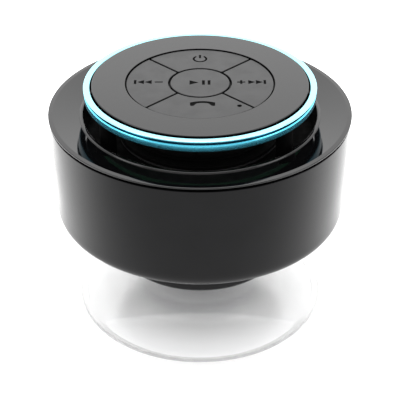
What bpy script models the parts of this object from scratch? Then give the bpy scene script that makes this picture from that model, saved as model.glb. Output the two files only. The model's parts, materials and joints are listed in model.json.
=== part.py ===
"""Shower speaker: a drum-shaped wireless loudspeaker that stands or hangs on a clear suction cup.

Units are metres. The origin is the centre of the suction cup's sealing rim, and +Z runs along the
axis of the drum towards the round control face. The handset key lies towards -Y, the power key
towards +Y, the previous-track key towards -X and the next-track key towards +X. The charging port
is in the side of the drum, at PORT_ANGLE round from +X.

From the control face down, the speaker is: a floating control pod on three posts, an open ring for
the sound, a dished collar, the drum with the loudspeaker and the electronics, a screwed rear cover
whose boss holds the battery, and the suction cup on a threaded stud.
"""

from math import asin, atan2, cos, pi, radians, sin, tan

import bmesh
import bpy
from mathutils import Vector

# Driving dimensions of the outside
TOP_Z = 81.5e-3
RING_RADIUS = 37.3e-3
RING_WIDTH = 2.1e-3
RING_MOAT = 0.5e-3
RING_HEIGHT = 3.8e-3
RING_DROP = 0.4e-3
RIM_RADIUS = 49.0e-3
RIM_Z = 72.5e-3
RIM_THICKNESS = 1.4e-3
LIP_RADIUS = 37.9e-3
LIP_Z = 71.4e-3
DISH_SLOPE = radians(8)
DRUM_TOP_RADIUS = 48.7e-3
DRUM_BOTTOM_RADIUS = 47.9e-3
DRUM_BOTTOM_Z = 34.3e-3
DRUM_FILLET = 5.0e-3
COVER_RADIUS = 39.2e-3
BOSS_RADIUS = 28.8e-3
BOSS_BOTTOM_Z = 18.9e-3
CUP_RADIUS = 42.0e-3

# Walls and gaps
WALL = 2.0e-3
GAP = 0.3e-3

# Control face
PAD_OPENING_RADIUS = 24.0e-3
CENTRE_KEY_RADIUS = 9.55e-3
KEY_GROOVE = 0.6e-3
KEY_RECESS = 0.3e-3
KEY_THICKNESS = 1.0e-3
KEY_EDGE = 0.2e-3
KEY_MIDDLE_RADIUS = 16.7e-3
STEM_RADIUS = 1.7e-3
MIC_PLACE = (12.2e-3, -15.5e-3)
MIC_HOLE = 0.75e-3
PLATE_THICKNESS = 1.7e-3
MEMBRANE_THICKNESS = 0.7e-3
KEY_BOARD_RADIUS = 31.5e-3
BOARD_THICKNESS = 1.2e-3
POD_WALL_RADIUS = 33.0e-3
POD_FLOOR_Z = 73.2e-3

# Loudspeaker
BAFFLE_TOP_Z = 63.3e-3
BAFFLE_THICKNESS = 1.6e-3
FLANGE_THICKNESS = 1.2e-3
DRIVER_RADIUS = 26.6e-3
DRIVER_OPENING_RADIUS = 23.3e-3
CONE_RADIUS = 19.0e-3
COIL_RADIUS = 6.7e-3

# Skirt of the collar, which the drum's shoulder holds
SKIRT_INNER_RADIUS = 43.9e-3
SKIRT_OUTER_RADIUS = 45.8e-3

# Screws: places on circles about the axis
POD_POST_CIRCLE = 32.0e-3
POD_POST_ANGLES = [radians(a) for a in (85, 205, 325)]
POD_SCREW_HOLE = 1.3e-3
BAFFLE_SCREW_CIRCLE = 41.8e-3
BAFFLE_SCREW_ANGLES = [radians(a) for a in (25, 145, 265)]
BAFFLE_SCREW_HOLE = 1.0e-3
COVER_SCREW_CIRCLE = 34.3e-3
COVER_SCREW_ANGLES = [radians(a) for a in (25, 115, 205, 295)]
COVER_SCREW_HOLE = 1.25e-3

# Charging port, and the cable from the key board, both in the port's direction
PORT_ANGLE = radians(135)
PORT_Z = 48.85e-3
PORT_PLUG_WIDTH = 11.8e-3
PORT_PLUG_HEIGHT = 6.2e-3
CABLE_CIRCLE = 29.6e-3
CABLE_RADIUS = 1.0e-3

# Suction cup and stud
CUP_HUB_TOP_Z = 17.0e-3
CUP_FLANGE_Z = 12.4e-3
CUP_FLANGE_THICKNESS = 2.2e-3
CUP_FLANGE_RADIUS = 5.4e-3
STUD_BORE = 3.1e-3
INSERT_HEIGHT = 7.9e-3

# Facets
SIDES = 36
INNER_SIDES = 24
SCREW_SIDES = 10
ARC_STEPS = 2

# Heights and radii that follow from the driving dimensions
RING_TOP_Z = TOP_Z - RING_DROP
RING_BOTTOM_Z = RING_TOP_Z - RING_HEIGHT
RING_INNER_RADIUS = RING_RADIUS - RING_WIDTH
PLATE_RADIUS = RING_INNER_RADIUS - RING_MOAT
PLATE_BOTTOM_Z = TOP_Z - PLATE_THICKNESS
KEY_TOP_Z = TOP_Z - KEY_RECESS
KEY_BOTTOM_Z = KEY_TOP_Z - KEY_THICKNESS
MEMBRANE_TOP_Z = PLATE_BOTTOM_Z - GAP
MEMBRANE_BOTTOM_Z = MEMBRANE_TOP_Z - MEMBRANE_THICKNESS
KEY_BOARD_TOP_Z = MEMBRANE_BOTTOM_Z - 1.8e-3
KEY_BOARD_BOTTOM_Z = KEY_BOARD_TOP_Z - BOARD_THICKNESS
DRUM_TOP_Z = RIM_Z - RIM_THICKNESS - GAP
BAFFLE_BOTTOM_Z = BAFFLE_TOP_Z - BAFFLE_THICKNESS
SEAT_Z = BAFFLE_TOP_Z + GAP
FLANGE_BOTTOM_Z = BAFFLE_TOP_Z + 1.2e-3
FLANGE_TOP_Z = FLANGE_BOTTOM_Z + FLANGE_THICKNESS
BASKET_FLOOR_Z = FLANGE_TOP_Z - 12.0e-3
TOP_PLATE_Z = BASKET_FLOOR_Z - GAP
MAGNET_TOP_Z = TOP_PLATE_Z - 1.7e-3
YOKE_TOP_Z = MAGNET_TOP_Z - 5.9e-3
SPIDER_Z = BASKET_FLOOR_Z + 2.5e-3
COVER_TOP_Z = DRUM_BOTTOM_Z + 2.4e-3
LEDGE_Z = COVER_TOP_Z + 1.1e-3
INSERT_TOP_Z = BOSS_BOTTOM_Z + INSERT_HEIGHT
MAIN_BOARD_BOTTOM_Z = PORT_Z - 2.85e-3
MAIN_BOARD_TOP_Z = MAIN_BOARD_BOTTOM_Z + BOARD_THICKNESS

# Finish of each kind of piece: colour, roughness, metallic, transmission
FINISHES = {
    "gloss black": ((0.012, 0.012, 0.014), 0.15, 0.0, 0.0),
    "satin black": ((0.018, 0.018, 0.020), 0.45, 0.0, 0.0),
    "key rubber": ((0.016, 0.016, 0.017), 0.62, 0.0, 0.0),
    "soft rubber": ((0.03, 0.03, 0.03), 0.75, 0.0, 0.0),
    "cyan metal": ((0.06, 0.55, 0.75), 0.22, 1.0, 0.0),
    "clear vinyl": ((0.93, 0.96, 0.97), 0.08, 0.0, 0.95),
    "steel": ((0.62, 0.62, 0.64), 0.28, 1.0, 0.0),
    "brass": ((0.78, 0.60, 0.27), 0.30, 1.0, 0.0),
    "green board": ((0.02, 0.16, 0.07), 0.40, 0.0, 0.0),
    "blue board": ((0.02, 0.05, 0.20), 0.40, 0.0, 0.0),
    "ferrite": ((0.05, 0.05, 0.05), 0.60, 0.0, 0.0),
    "copper": ((0.75, 0.32, 0.16), 0.30, 1.0, 0.0),
    "paper": ((0.05, 0.05, 0.05), 0.85, 0.0, 0.0),
    "yellow cloth": ((0.55, 0.42, 0.14), 0.85, 0.0, 0.0),
    "foil": ((0.70, 0.70, 0.72), 0.35, 0.8, 0.0),
    "foam": ((0.04, 0.04, 0.04), 0.95, 0.0, 0.0),
    "chip": ((0.02, 0.02, 0.02), 0.50, 0.0, 0.0),
    "red sleeve": ((0.45, 0.03, 0.02), 0.50, 0.0, 0.0),
}


# Helpers


def clear_scene():
    for old in list(bpy.data.objects):
        bpy.data.objects.remove(old)


def make_material(name, finish):
    """A Principled BSDF material in one of the finishes."""
    colour, roughness, metallic, transmission = FINISHES[finish]
    material = bpy.data.materials.new(name)
    material.use_nodes = True
    shader = material.node_tree.nodes["Principled BSDF"]
    shader.inputs["Base Color"].default_value = (*colour, 1.0)
    shader.inputs["Roughness"].default_value = roughness
    shader.inputs["Metallic"].default_value = metallic
    shader.inputs["Transmission Weight"].default_value = transmission
    material.diffuse_color = (*colour, 1.0)
    return material


def add_piece(name, bm, finish, at=(0, 0, 0), parent=None):
    """Makes the named object from a bmesh, shades it smooth and gives it its own material."""
    bmesh.ops.recalc_face_normals(bm, faces=bm.faces)
    mesh = bpy.data.meshes.new(name)
    bm.to_mesh(mesh)
    bm.free()
    mesh.shade_smooth()
    mesh.set_sharp_from_angle(angle=radians(35))
    if finish:
        mesh.materials.append(make_material(name, finish))
    piece = bpy.data.objects.new(name, mesh)
    piece.location = at
    piece.parent = parent
    bpy.context.scene.collection.objects.link(piece)
    return piece


def outline(*corners):
    """The points of a profile from (radius, height) corners; a third value rounds that corner."""
    points = []
    for i, corner in enumerate(corners):
        here = Vector(corner[:2])
        if len(corner) == 2:
            points.append(here)
            continue
        radius = corner[2]
        before = (Vector(corners[i - 1][:2]) - here).normalized()
        after = (Vector(corners[(i + 1) % len(corners)][:2]) - here).normalized()
        half = before.angle(after) / 2
        centre = here + (before + after).normalized() * radius / sin(half)
        first = here + before * radius / tan(half) - centre
        last = here + after * radius / tan(half) - centre
        start = atan2(first.y, first.x)
        sweep = (atan2(last.y, last.x) - start + pi) % (2 * pi) - pi
        for step in range(ARC_STEPS + 1):
            angle = start + sweep * step / ARC_STEPS
            points.append(centre + radius * Vector((cos(angle), sin(angle))))
    return points


def arc(centre_radius, centre_z, radius, first, last, steps):
    """Points on a circular arc in a profile, angles in degrees from the outward direction."""
    angles = [radians(first + (last - first) * i / steps) for i in range(steps + 1)]
    return [(centre_radius + radius * cos(a), centre_z + radius * sin(a)) for a in angles]


def turned_mesh(points, sides):
    """A bmesh turned about Z. A profile that starts and ends on the axis is left open there."""
    bm = bmesh.new()
    verts = [bm.verts.new((radius, 0, height)) for radius, height in points]
    edges = [bm.edges.new(pair) for pair in zip(verts, verts[1:])]
    if points[0][0] > 0:
        edges.append(bm.edges.new((verts[-1], verts[0])))
    bmesh.ops.spin(
        bm, geom=verts + edges, cent=(0, 0, 0), axis=(0, 0, 1), angle=2 * pi, steps=sides, use_merge=True
    )
    bmesh.ops.remove_doubles(bm, verts=bm.verts, dist=1e-7)
    return bm


def turned(name, points, finish, sides=SIDES, at=(0, 0, 0), parent=None):
    return add_piece(name, turned_mesh(points, sides), finish, at, parent)


def tube_profile(inner, outer, bottom, top):
    return [(inner, bottom), (outer, bottom), (outer, top), (inner, top)]


def disc_profile(radius, bottom, top):
    return [(0, top), (radius, top), (radius, bottom), (0, bottom)]


def box_mesh(size, corner=0.0):
    """A bmesh box about the origin, with its upright edges rounded to corner."""
    bm = bmesh.new()
    bmesh.ops.create_cube(bm, size=1)
    bmesh.ops.scale(bm, vec=size, verts=bm.verts)
    if corner:
        upright = [e for e in bm.edges if abs(e.verts[0].co.z - e.verts[1].co.z) > size[2] / 2]
        bmesh.ops.bevel(bm, geom=upright, offset=corner, segments=2, profile=0.5, affect="EDGES")
    return bm


def box_piece(name, size, centre, finish, corner=0.0, parent=None):
    return add_piece(name, box_mesh(size, corner), finish, centre, parent)


def block(low, high, parent=None):
    """A hidden box helper between two corners."""
    size = [b - a for a, b in zip(low, high)]
    centre = [(a + b) / 2 for a, b in zip(low, high)]
    return hide(add_piece("helper_block", box_mesh(size), None, centre, parent))


def rod(radius, low_z, high_z, at=(0, 0), sides=SCREW_SIDES, parent=None):
    """A hidden upright round helper."""
    bm = turned_mesh(disc_profile(radius, low_z, high_z), sides)
    return hide(add_piece("helper_rod", bm, None, (at[0], at[1], 0), parent))


def stepped_rod(wide, narrow, step_z, high_z, at):
    """A hidden helper for a screw hole with a wider mouth below step_z."""
    points = [(0, high_z), (narrow, high_z), (narrow, step_z), (wide, step_z)]
    points += [(wide, DRUM_BOTTOM_Z - 1e-3), (0, DRUM_BOTTOM_Z - 1e-3)]
    return hide(add_piece("helper_rod", turned_mesh(points, SCREW_SIDES), None, (*at, 0)))


def hide(helper):
    helper.hide_render = True
    helper.display_type = "WIRE"
    return helper


def combine(piece, operation, helpers):
    for helper in helpers:
        boolean = piece.modifiers.new(operation.lower(), "BOOLEAN")
        boolean.operation = operation
        boolean.object = helper
        boolean.solver = "EXACT"
    return piece


def cut(piece, helpers):
    return combine(piece, "DIFFERENCE", helpers)


def join(piece, helpers):
    return combine(piece, "UNION", helpers)


def on_circle(radius, angle):
    return (radius * cos(angle), radius * sin(angle))


def empty(name, at=(0, 0, 0), turn=0.0, parent=None):
    """An axis marker that pieces hang from."""
    marker = bpy.data.objects.new(name, None)
    marker.location = at
    marker.rotation_euler = (0, 0, turn)
    marker.parent = parent
    bpy.context.scene.collection.objects.link(marker)
    return marker


def wire(name, points, radius, finish, parent=None):
    """A round lead along a bent path."""
    curve = bpy.data.curves.new(name, "CURVE")
    curve.dimensions = "3D"
    curve.bevel_depth = radius
    curve.bevel_resolution = 1
    curve.use_fill_caps = True
    path = curve.splines.new("POLY")
    path.points.add(len(points) - 1)
    for point, place in zip(path.points, points):
        point.co = (*place, 1)
    curve.materials.append(make_material(name, finish))
    lead = bpy.data.objects.new(name, curve)
    lead.parent = parent
    bpy.context.scene.collection.objects.link(lead)
    return lead


def screw(name, at, head_z, head_radius, shank_radius, tip_z):
    """A pan-head screw that is driven upwards: its head faces down."""
    head_top = head_z + 1.2e-3
    points = [
        (0, head_z),
        (head_radius * 0.75, head_z),
        (head_radius, head_z + 0.4e-3),
        (head_radius, head_top),
        (shank_radius, head_top),
        (shank_radius, tip_z - shank_radius),
        (0, tip_z),
    ]
    return turned(name, points, "steel", SCREW_SIDES, (at[0], at[1], 0))


# Drum


def drum_radius(height):
    """Outer radius of the tapered drum at a height."""
    share = (height - DRUM_BOTTOM_Z) / (DRUM_TOP_Z - DRUM_BOTTOM_Z)
    return DRUM_BOTTOM_RADIUS + (DRUM_TOP_RADIUS - DRUM_BOTTOM_RADIUS) * share


def make_housing(port_frame):
    """The tapered drum: a ledge for the rear cover, a shoulder for the collar, and the port."""
    shoulder_top = SEAT_Z + 1.4e-3
    shoulder_radius = SKIRT_INNER_RADIUS + GAP
    ledge_radius = COVER_SCREW_CIRCLE - 3.4e-3
    ledge_top = LEDGE_Z + 1.6e-3
    housing = turned(
        "housing_shell",
        outline(
            (DRUM_TOP_RADIUS, DRUM_TOP_Z),
            (DRUM_BOTTOM_RADIUS, DRUM_BOTTOM_Z, DRUM_FILLET),
            (COVER_RADIUS + GAP, DRUM_BOTTOM_Z),
            (COVER_RADIUS + GAP, LEDGE_Z),
            (ledge_radius, LEDGE_Z),
            (ledge_radius, ledge_top),
            (drum_radius(ledge_top) - WALL, ledge_top),
            (drum_radius(SEAT_Z) - WALL, SEAT_Z),
            (shoulder_radius, SEAT_Z),
            (shoulder_radius, shoulder_top),
            (drum_radius(shoulder_top) - WALL, shoulder_top),
            (DRUM_TOP_RADIUS - WALL, DRUM_TOP_Z),
        ),
        "satin black",
    )
    pillar_radius = 2.9e-3
    pillar_top = LEDGE_Z + 7.0e-3
    hole_top = pillar_top - 0.9e-3
    places = [on_circle(COVER_SCREW_CIRCLE, a) for a in COVER_SCREW_ANGLES]
    join(housing, [rod(pillar_radius, ledge_top - 0.6e-3, pillar_top, at) for at in places])
    cut(housing, [rod(COVER_SCREW_HOLE, LEDGE_Z - 1e-3, hole_top, at) for at in places])
    for number, at in enumerate(places, 1):
        screw(f"cover_screw_{number}", at, DRUM_BOTTOM_Z, 2.0e-3, 0.95e-3, hole_top - 0.6e-3)

    outer = drum_radius(PORT_Z)
    pad_low = (outer - 4.3e-3, -8.0e-3, PORT_Z - 5.0e-3)
    pad_high = (outer - 1.0e-3, 8.0e-3, PORT_Z + 5.0e-3)
    join(housing, [block(pad_low, pad_high, port_frame)])
    half_width = PORT_PLUG_WIDTH / 2 + GAP
    half_height = PORT_PLUG_HEIGHT / 2 + GAP
    pocket_low = (outer - 1.85e-3, -half_width, PORT_Z - half_height)
    pocket_high = (outer + 4.0e-3, half_width, PORT_Z + half_height)
    slot_low = (outer - 6.0e-3, -4.3e-3, PORT_Z - 1.6e-3)
    slot_high = (outer + 2.0e-3, 4.3e-3, PORT_Z + 2.0e-3)
    cut(housing, [block(pocket_low, pocket_high, port_frame), block(slot_low, slot_high, port_frame)])


def make_port_plug(port_frame):
    """The soft port cover: a cap flush with the drum and a stopper, hinged at its lower edge."""
    outer = drum_radius(PORT_Z) - 0.2e-3
    cap_back = outer - 1.35e-3
    hinge_at = (outer, 0, PORT_Z - PORT_PLUG_HEIGHT / 2)
    hinge = empty("plug_hinge", hinge_at, parent=port_frame)
    depth = 4.0e-3
    size = (depth, PORT_PLUG_WIDTH, PORT_PLUG_HEIGHT)
    middle = (cap_back + depth / 2 - hinge_at[0], 0, PORT_PLUG_HEIGHT / 2)
    plug = box_piece("port_plug", size, middle, "soft rubber", parent=hinge)
    around_profile = disc_profile(outer, PORT_Z - 10e-3, PORT_Z + 10e-3)
    around = hide(add_piece("helper_drum", turned_mesh(around_profile, SIDES), None, parent=port_frame))
    combine(plug, "INTERSECT", [around])
    stopper_low = (outer - 3.5e-3, -3.6e-3, PORT_Z - 1.2e-3)
    stopper_high = (cap_back + 0.4e-3, 3.6e-3, PORT_Z + 1.2e-3)
    join(plug, [block(stopper_low, stopper_high, port_frame)])


def make_rear_cover():
    """The floor of the drum with the boss below it, which holds the battery and the cup's insert."""
    inner_boss = BOSS_RADIUS - WALL
    hub_radius = 7.6e-3
    hub_bore = 4.4e-3
    floor_top = BOSS_BOTTOM_Z + 2.2e-3
    cover = turned(
        "rear_cover",
        outline(
            (COVER_RADIUS, COVER_TOP_Z),
            (COVER_RADIUS, DRUM_BOTTOM_Z),
            (BOSS_RADIUS + 0.2e-3, DRUM_BOTTOM_Z, 0.8e-3),
            (BOSS_RADIUS, BOSS_BOTTOM_Z, 1.6e-3),
            (hub_bore, BOSS_BOTTOM_Z),
            (hub_bore, INSERT_TOP_Z),
            (hub_radius, INSERT_TOP_Z),
            (hub_radius, floor_top),
            (inner_boss, floor_top),
            (inner_boss, COVER_TOP_Z),
        ),
        "satin black",
    )
    head_hole = 2.4e-3
    head_seat = DRUM_BOTTOM_Z + 1.5e-3
    places = [on_circle(COVER_SCREW_CIRCLE, a) for a in COVER_SCREW_ANGLES]
    cut(cover, [stepped_rod(head_hole, COVER_SCREW_HOLE, head_seat, COVER_TOP_Z + 1e-3, at) for at in places])

    seal = tube_profile(COVER_RADIUS - 1.6e-3, COVER_RADIUS - 0.3e-3, COVER_TOP_Z + GAP, LEDGE_Z - GAP)
    turned("rear_gasket", seal, "soft rubber")
    insert = tube_profile(STUD_BORE + 0.1e-3, hub_bore - GAP, BOSS_BOTTOM_Z + 0.4e-3, INSERT_TOP_Z - 0.2e-3)
    turned("stud_insert", insert, "brass", 16)


def dish_z(radius):
    """Height of the collar's dished surface at a radius."""
    return RIM_Z - (RIM_RADIUS - radius) * tan(DISH_SLOPE)


def make_collar():
    """The dished collar round the sound gap, with its throat and the skirt that enters the drum."""
    rim_bottom = RIM_Z - RIM_THICKNESS
    dish_inner = LIP_RADIUS + 1.1e-3
    skirt_z = SEAT_Z + 1.7e-3
    collar = turned(
        "front_collar",
        outline(
            (RIM_RADIUS, rim_bottom),
            (RIM_RADIUS, RIM_Z, 0.7e-3),
            (dish_inner, dish_z(dish_inner)),
            (dish_inner - 0.1e-3, LIP_Z, 0.2e-3),
            (LIP_RADIUS, LIP_Z, 0.35e-3),
            (LIP_RADIUS - 0.9e-3, SEAT_Z),
            (LIP_RADIUS + 0.9e-3, SEAT_Z),
            (LIP_RADIUS + 1.8e-3, dish_z(dish_inner) - 1.8e-3),
            (SKIRT_INNER_RADIUS, dish_z(dish_inner) - 1.1e-3),
            (SKIRT_INNER_RADIUS, skirt_z),
            (SKIRT_OUTER_RADIUS, skirt_z),
            (SKIRT_OUTER_RADIUS + 0.5e-3, rim_bottom),
        ),
        "gloss black",
    )
    boss_top = dish_z(BAFFLE_SCREW_CIRCLE) - 0.9e-3
    hole_top = boss_top - 1.4e-3
    places = [on_circle(BAFFLE_SCREW_CIRCLE, a) for a in BAFFLE_SCREW_ANGLES]
    join(collar, [rod(1.8e-3, SEAT_Z, boss_top, at) for at in places])
    cut(collar, [rod(BAFFLE_SCREW_HOLE, SEAT_Z - 1e-3, hole_top, at) for at in places])
    for number, at in enumerate(places, 1):
        screw(f"baffle_screw_{number}", at, BAFFLE_BOTTOM_Z - 1.5e-3, 1.7e-3, 0.7e-3, hole_top - 0.4e-3)


# Loudspeaker


def make_baffle():
    """The plate that closes the drum round the loudspeaker, with the driver's gasket."""
    profile = tube_profile(DRIVER_OPENING_RADIUS, SKIRT_OUTER_RADIUS - 0.2e-3, BAFFLE_BOTTOM_Z, BAFFLE_TOP_Z)
    baffle = turned("driver_baffle", profile, "satin black")
    low, high = BAFFLE_BOTTOM_Z - 1e-3, BAFFLE_TOP_Z + 1e-3
    collar_screws = [on_circle(BAFFLE_SCREW_CIRCLE, a) for a in BAFFLE_SCREW_ANGLES]
    pod_screws = [on_circle(POD_POST_CIRCLE, a) for a in POD_POST_ANGLES]
    cut(baffle, [rod(BAFFLE_SCREW_HOLE, low, high, at) for at in collar_screws])
    cut(baffle, [rod(POD_SCREW_HOLE, low, high, at) for at in pod_screws])
    cut(baffle, [rod(CABLE_RADIUS + 0.8e-3, low, high, on_circle(CABLE_CIRCLE, PORT_ANGLE))])
    gasket = tube_profile(DRIVER_OPENING_RADIUS + GAP, DRIVER_RADIUS - 0.2e-3, SEAT_Z, FLANGE_BOTTOM_Z - GAP)
    turned("driver_gasket", gasket, "foam", INNER_SIDES)


def make_driver_frame():
    """The pressed-steel basket with four windows."""
    neck_radius = 22.8e-3
    neck_z = BASKET_FLOOR_Z + 7.1e-3
    foot_radius = 15.2e-3
    bore = COIL_RADIUS + 0.9e-3
    sheet = 1.0e-3
    frame = turned(
        "driver_frame",
        [
            (DRIVER_RADIUS, FLANGE_TOP_Z),
            (DRIVER_RADIUS, FLANGE_BOTTOM_Z),
            (neck_radius, FLANGE_BOTTOM_Z),
            (neck_radius, neck_z),
            (foot_radius, BASKET_FLOOR_Z),
            (bore, BASKET_FLOOR_Z),
            (bore, BASKET_FLOOR_Z + sheet),
            (foot_radius - 0.6e-3, BASKET_FLOOR_Z + sheet),
            (neck_radius - sheet, neck_z + 0.2e-3),
            (neck_radius - sheet, FLANGE_TOP_Z),
        ],
        "steel",
        INNER_SIDES,
    )
    window = 5.5e-3
    low, high = BASKET_FLOOR_Z + 2.1e-3, BASKET_FLOOR_Z + 6.6e-3
    reach = 30e-3
    cut(frame, [block((-reach, -window, low), (reach, window, high))])
    cut(frame, [block((-window, -reach, low), (window, reach, high))])


def make_motor():
    """The magnet between its front plate and the yoke with the centre pole."""
    plate = tube_profile(COIL_RADIUS + GAP, 14.4e-3, TOP_PLATE_Z - 1.4e-3, TOP_PLATE_Z)
    turned("driver_top_plate", plate, "steel", INNER_SIDES)
    magnet = tube_profile(8.2e-3, 15.4e-3, YOKE_TOP_Z + GAP, MAGNET_TOP_Z)
    turned("driver_magnet", magnet, "ferrite", INNER_SIDES)
    pole = COIL_RADIUS - 1.1e-3
    pole_top = TOP_PLATE_Z - 0.2e-3
    back_radius = 14.0e-3
    back_z = YOKE_TOP_Z - 2.4e-3
    yoke = [(0, pole_top), (pole, pole_top), (pole, YOKE_TOP_Z), (back_radius, YOKE_TOP_Z)]
    turned("driver_yoke", yoke + [(back_radius, back_z), (0, back_z)], "steel", INNER_SIDES)


def make_cone():
    """The moving cone, its dust cap and the voice coil."""
    edge_z = FLANGE_TOP_Z + 0.1e-3
    neck = COIL_RADIUS + 0.5e-3
    neck_z = BASKET_FLOOR_Z + 4.5e-3
    paper = 0.6e-3
    cone = [(CONE_RADIUS, edge_z), (neck, neck_z + 0.8e-3), (neck, neck_z), (CONE_RADIUS, edge_z - paper)]
    turned("driver_cone", cone, "paper", INNER_SIDES)
    dome = ((0.0, 4.0e-3), (4.4e-3, 3.4e-3), (8.0e-3, 1.7e-3))
    outside = [(radius, neck_z + rise) for radius, rise in dome]
    inside = [(radius * 0.94, neck_z + rise * 0.9) for radius, rise in reversed(dome)]
    turned("driver_dust_cap", outside + inside, "paper", INNER_SIDES)
    coil = tube_profile(COIL_RADIUS - 0.5e-3, COIL_RADIUS, BASKET_FLOOR_Z - 4.1e-3, neck_z - 0.4e-3)
    turned("driver_voice_coil", coil, "copper", INNER_SIDES)


def make_suspension():
    """The rolled surround at the cone's edge, and the corrugated spider at its neck."""
    roll_centre = CONE_RADIUS + 1.7e-3
    land_z = FLANGE_TOP_Z + GAP
    thickness = 0.5e-3
    roll = 1.1e-3
    outer_arc = arc(roll_centre, land_z, roll + thickness, 180, 0, 3)
    inner_arc = arc(roll_centre, land_z, roll, 0, 180, 3)
    land_outer = 23.6e-3
    land_top = land_z + thickness
    land = [(roll_centre + 1.5e-3, land_top), (land_outer, land_top), (land_outer, land_z)]
    turned("driver_surround", outer_arc[:-1] + land + inner_arc, "soft rubber", INNER_SIDES)

    inner, outer = COIL_RADIUS + 0.5e-3, 14.6e-3
    waves = 5
    wave_height = 0.3e-3
    stations = [(inner + (outer - inner) * i / waves, wave_height * (-1) ** i) for i in range(waves + 1)]
    upper = [(radius, SPIDER_Z + 0.2e-3 + rise) for radius, rise in stations]
    lower = [(radius, SPIDER_Z - 0.2e-3 + rise) for radius, rise in reversed(stations)]
    turned("driver_spider", upper + lower, "yellow cloth", 20)


# Control pod


def make_pod_base():
    """The pod's bowl, whose underside turns the sound outwards, on its three posts."""
    rest_z = MEMBRANE_BOTTOM_Z - GAP
    flange_radius = RING_RADIUS - 0.6e-3
    base = turned(
        "pod_base",
        outline(
            (0, POD_FLOOR_Z),
            (28.0e-3, POD_FLOOR_Z),
            (POD_WALL_RADIUS, POD_FLOOR_Z + 2.0e-3),
            (POD_WALL_RADIUS, rest_z),
            (PLATE_RADIUS, rest_z),
            (PLATE_RADIUS, RING_BOTTOM_Z - GAP),
            (flange_radius, RING_BOTTOM_Z - GAP),
            (flange_radius, RING_BOTTOM_Z - 1.5e-3, 0.4e-3),
            (27.5e-3, POD_FLOOR_Z - 1.6e-3),
            (10.0e-3, POD_FLOOR_Z - 1.8e-3),
            (0, POD_FLOOR_Z - 3.4e-3),
        ),
        "satin black",
    )
    hole_top = POD_FLOOR_Z - 2.4e-3
    places = [on_circle(POD_POST_CIRCLE, a) for a in POD_POST_ANGLES]
    join(base, [rod(2.6e-3, SEAT_Z, KEY_BOARD_BOTTOM_Z - GAP, at, 12) for at in places])
    cut(base, [rod(POD_SCREW_HOLE, SEAT_Z - 1e-3, hole_top, at) for at in places])
    cable_place = on_circle(CABLE_CIRCLE, PORT_ANGLE)
    cut(base, [rod(CABLE_RADIUS + 0.6e-3, POD_FLOOR_Z - 3e-3, POD_FLOOR_Z + 3e-3, cable_place)])
    for number, at in enumerate(places, 1):
        screw(f"pod_screw_{number}", at, BAFFLE_BOTTOM_Z - 1.5e-3, 2.2e-3, 1.0e-3, hole_top - 0.5e-3)


def make_face():
    """The gloss face plate and the cyan trim ring round it."""
    edge = 0.2e-3
    turned(
        "face_plate",
        [
            (PAD_OPENING_RADIUS, PLATE_BOTTOM_Z),
            (PLATE_RADIUS, PLATE_BOTTOM_Z),
            (PLATE_RADIUS, TOP_Z - edge),
            (PLATE_RADIUS - edge, TOP_Z),
            (PAD_OPENING_RADIUS, TOP_Z),
        ],
        "gloss black",
    )
    turned(
        "trim_ring",
        outline(
            (RING_INNER_RADIUS, RING_BOTTOM_Z),
            (RING_RADIUS - 0.1e-3, RING_BOTTOM_Z),
            (RING_RADIUS, RING_TOP_Z - 1.4e-3),
            (RING_RADIUS - 0.7e-3, RING_TOP_Z, 0.9e-3),
            (RING_INNER_RADIUS, RING_TOP_Z - 0.1e-3),
        ),
        "cyan metal",
    )


def key_places():
    """Each key's name and the angle at which it sits; the round play key has none."""
    return {
        "play": None,
        "power": pi / 2,
        "handset": -pi / 2,
        "previous": pi,
        "next": 0.0,
    }


def key_middle(angle):
    return (0.0, 0.0) if angle is None else on_circle(KEY_MIDDLE_RADIUS, angle)


def sector_mesh(angle, middle):
    """The bmesh of a quarter-ring key about its own middle, with parallel grooves beside it."""
    inner = CENTRE_KEY_RADIUS + KEY_GROOVE
    outer = PAD_OPENING_RADIUS - 0.4e-3
    steps = 6
    points = []
    for radius, direction in ((inner, 1), (outer, -1)):
        half = pi / 4 - asin(KEY_GROOVE / 2 / radius)
        for i in range(steps + 1):
            turn = angle + direction * half * (2 * i / steps - 1)
            points.append((radius * cos(turn) - middle[0], radius * sin(turn) - middle[1]))
    bm = bmesh.new()
    floor = bm.faces.new([bm.verts.new((x, y, 0)) for x, y in points])
    grown = bmesh.ops.extrude_face_region(bm, geom=[floor])
    raised = [v for v in grown["geom"] if isinstance(v, bmesh.types.BMVert)]
    bmesh.ops.translate(bm, verts=raised, vec=(0, 0, KEY_THICKNESS))
    rim = {e for v in raised for e in v.link_edges if all(end in raised for end in e.verts)}
    bmesh.ops.bevel(bm, geom=list(rim), offset=KEY_EDGE, segments=1, affect="EDGES")
    return bm


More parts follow.
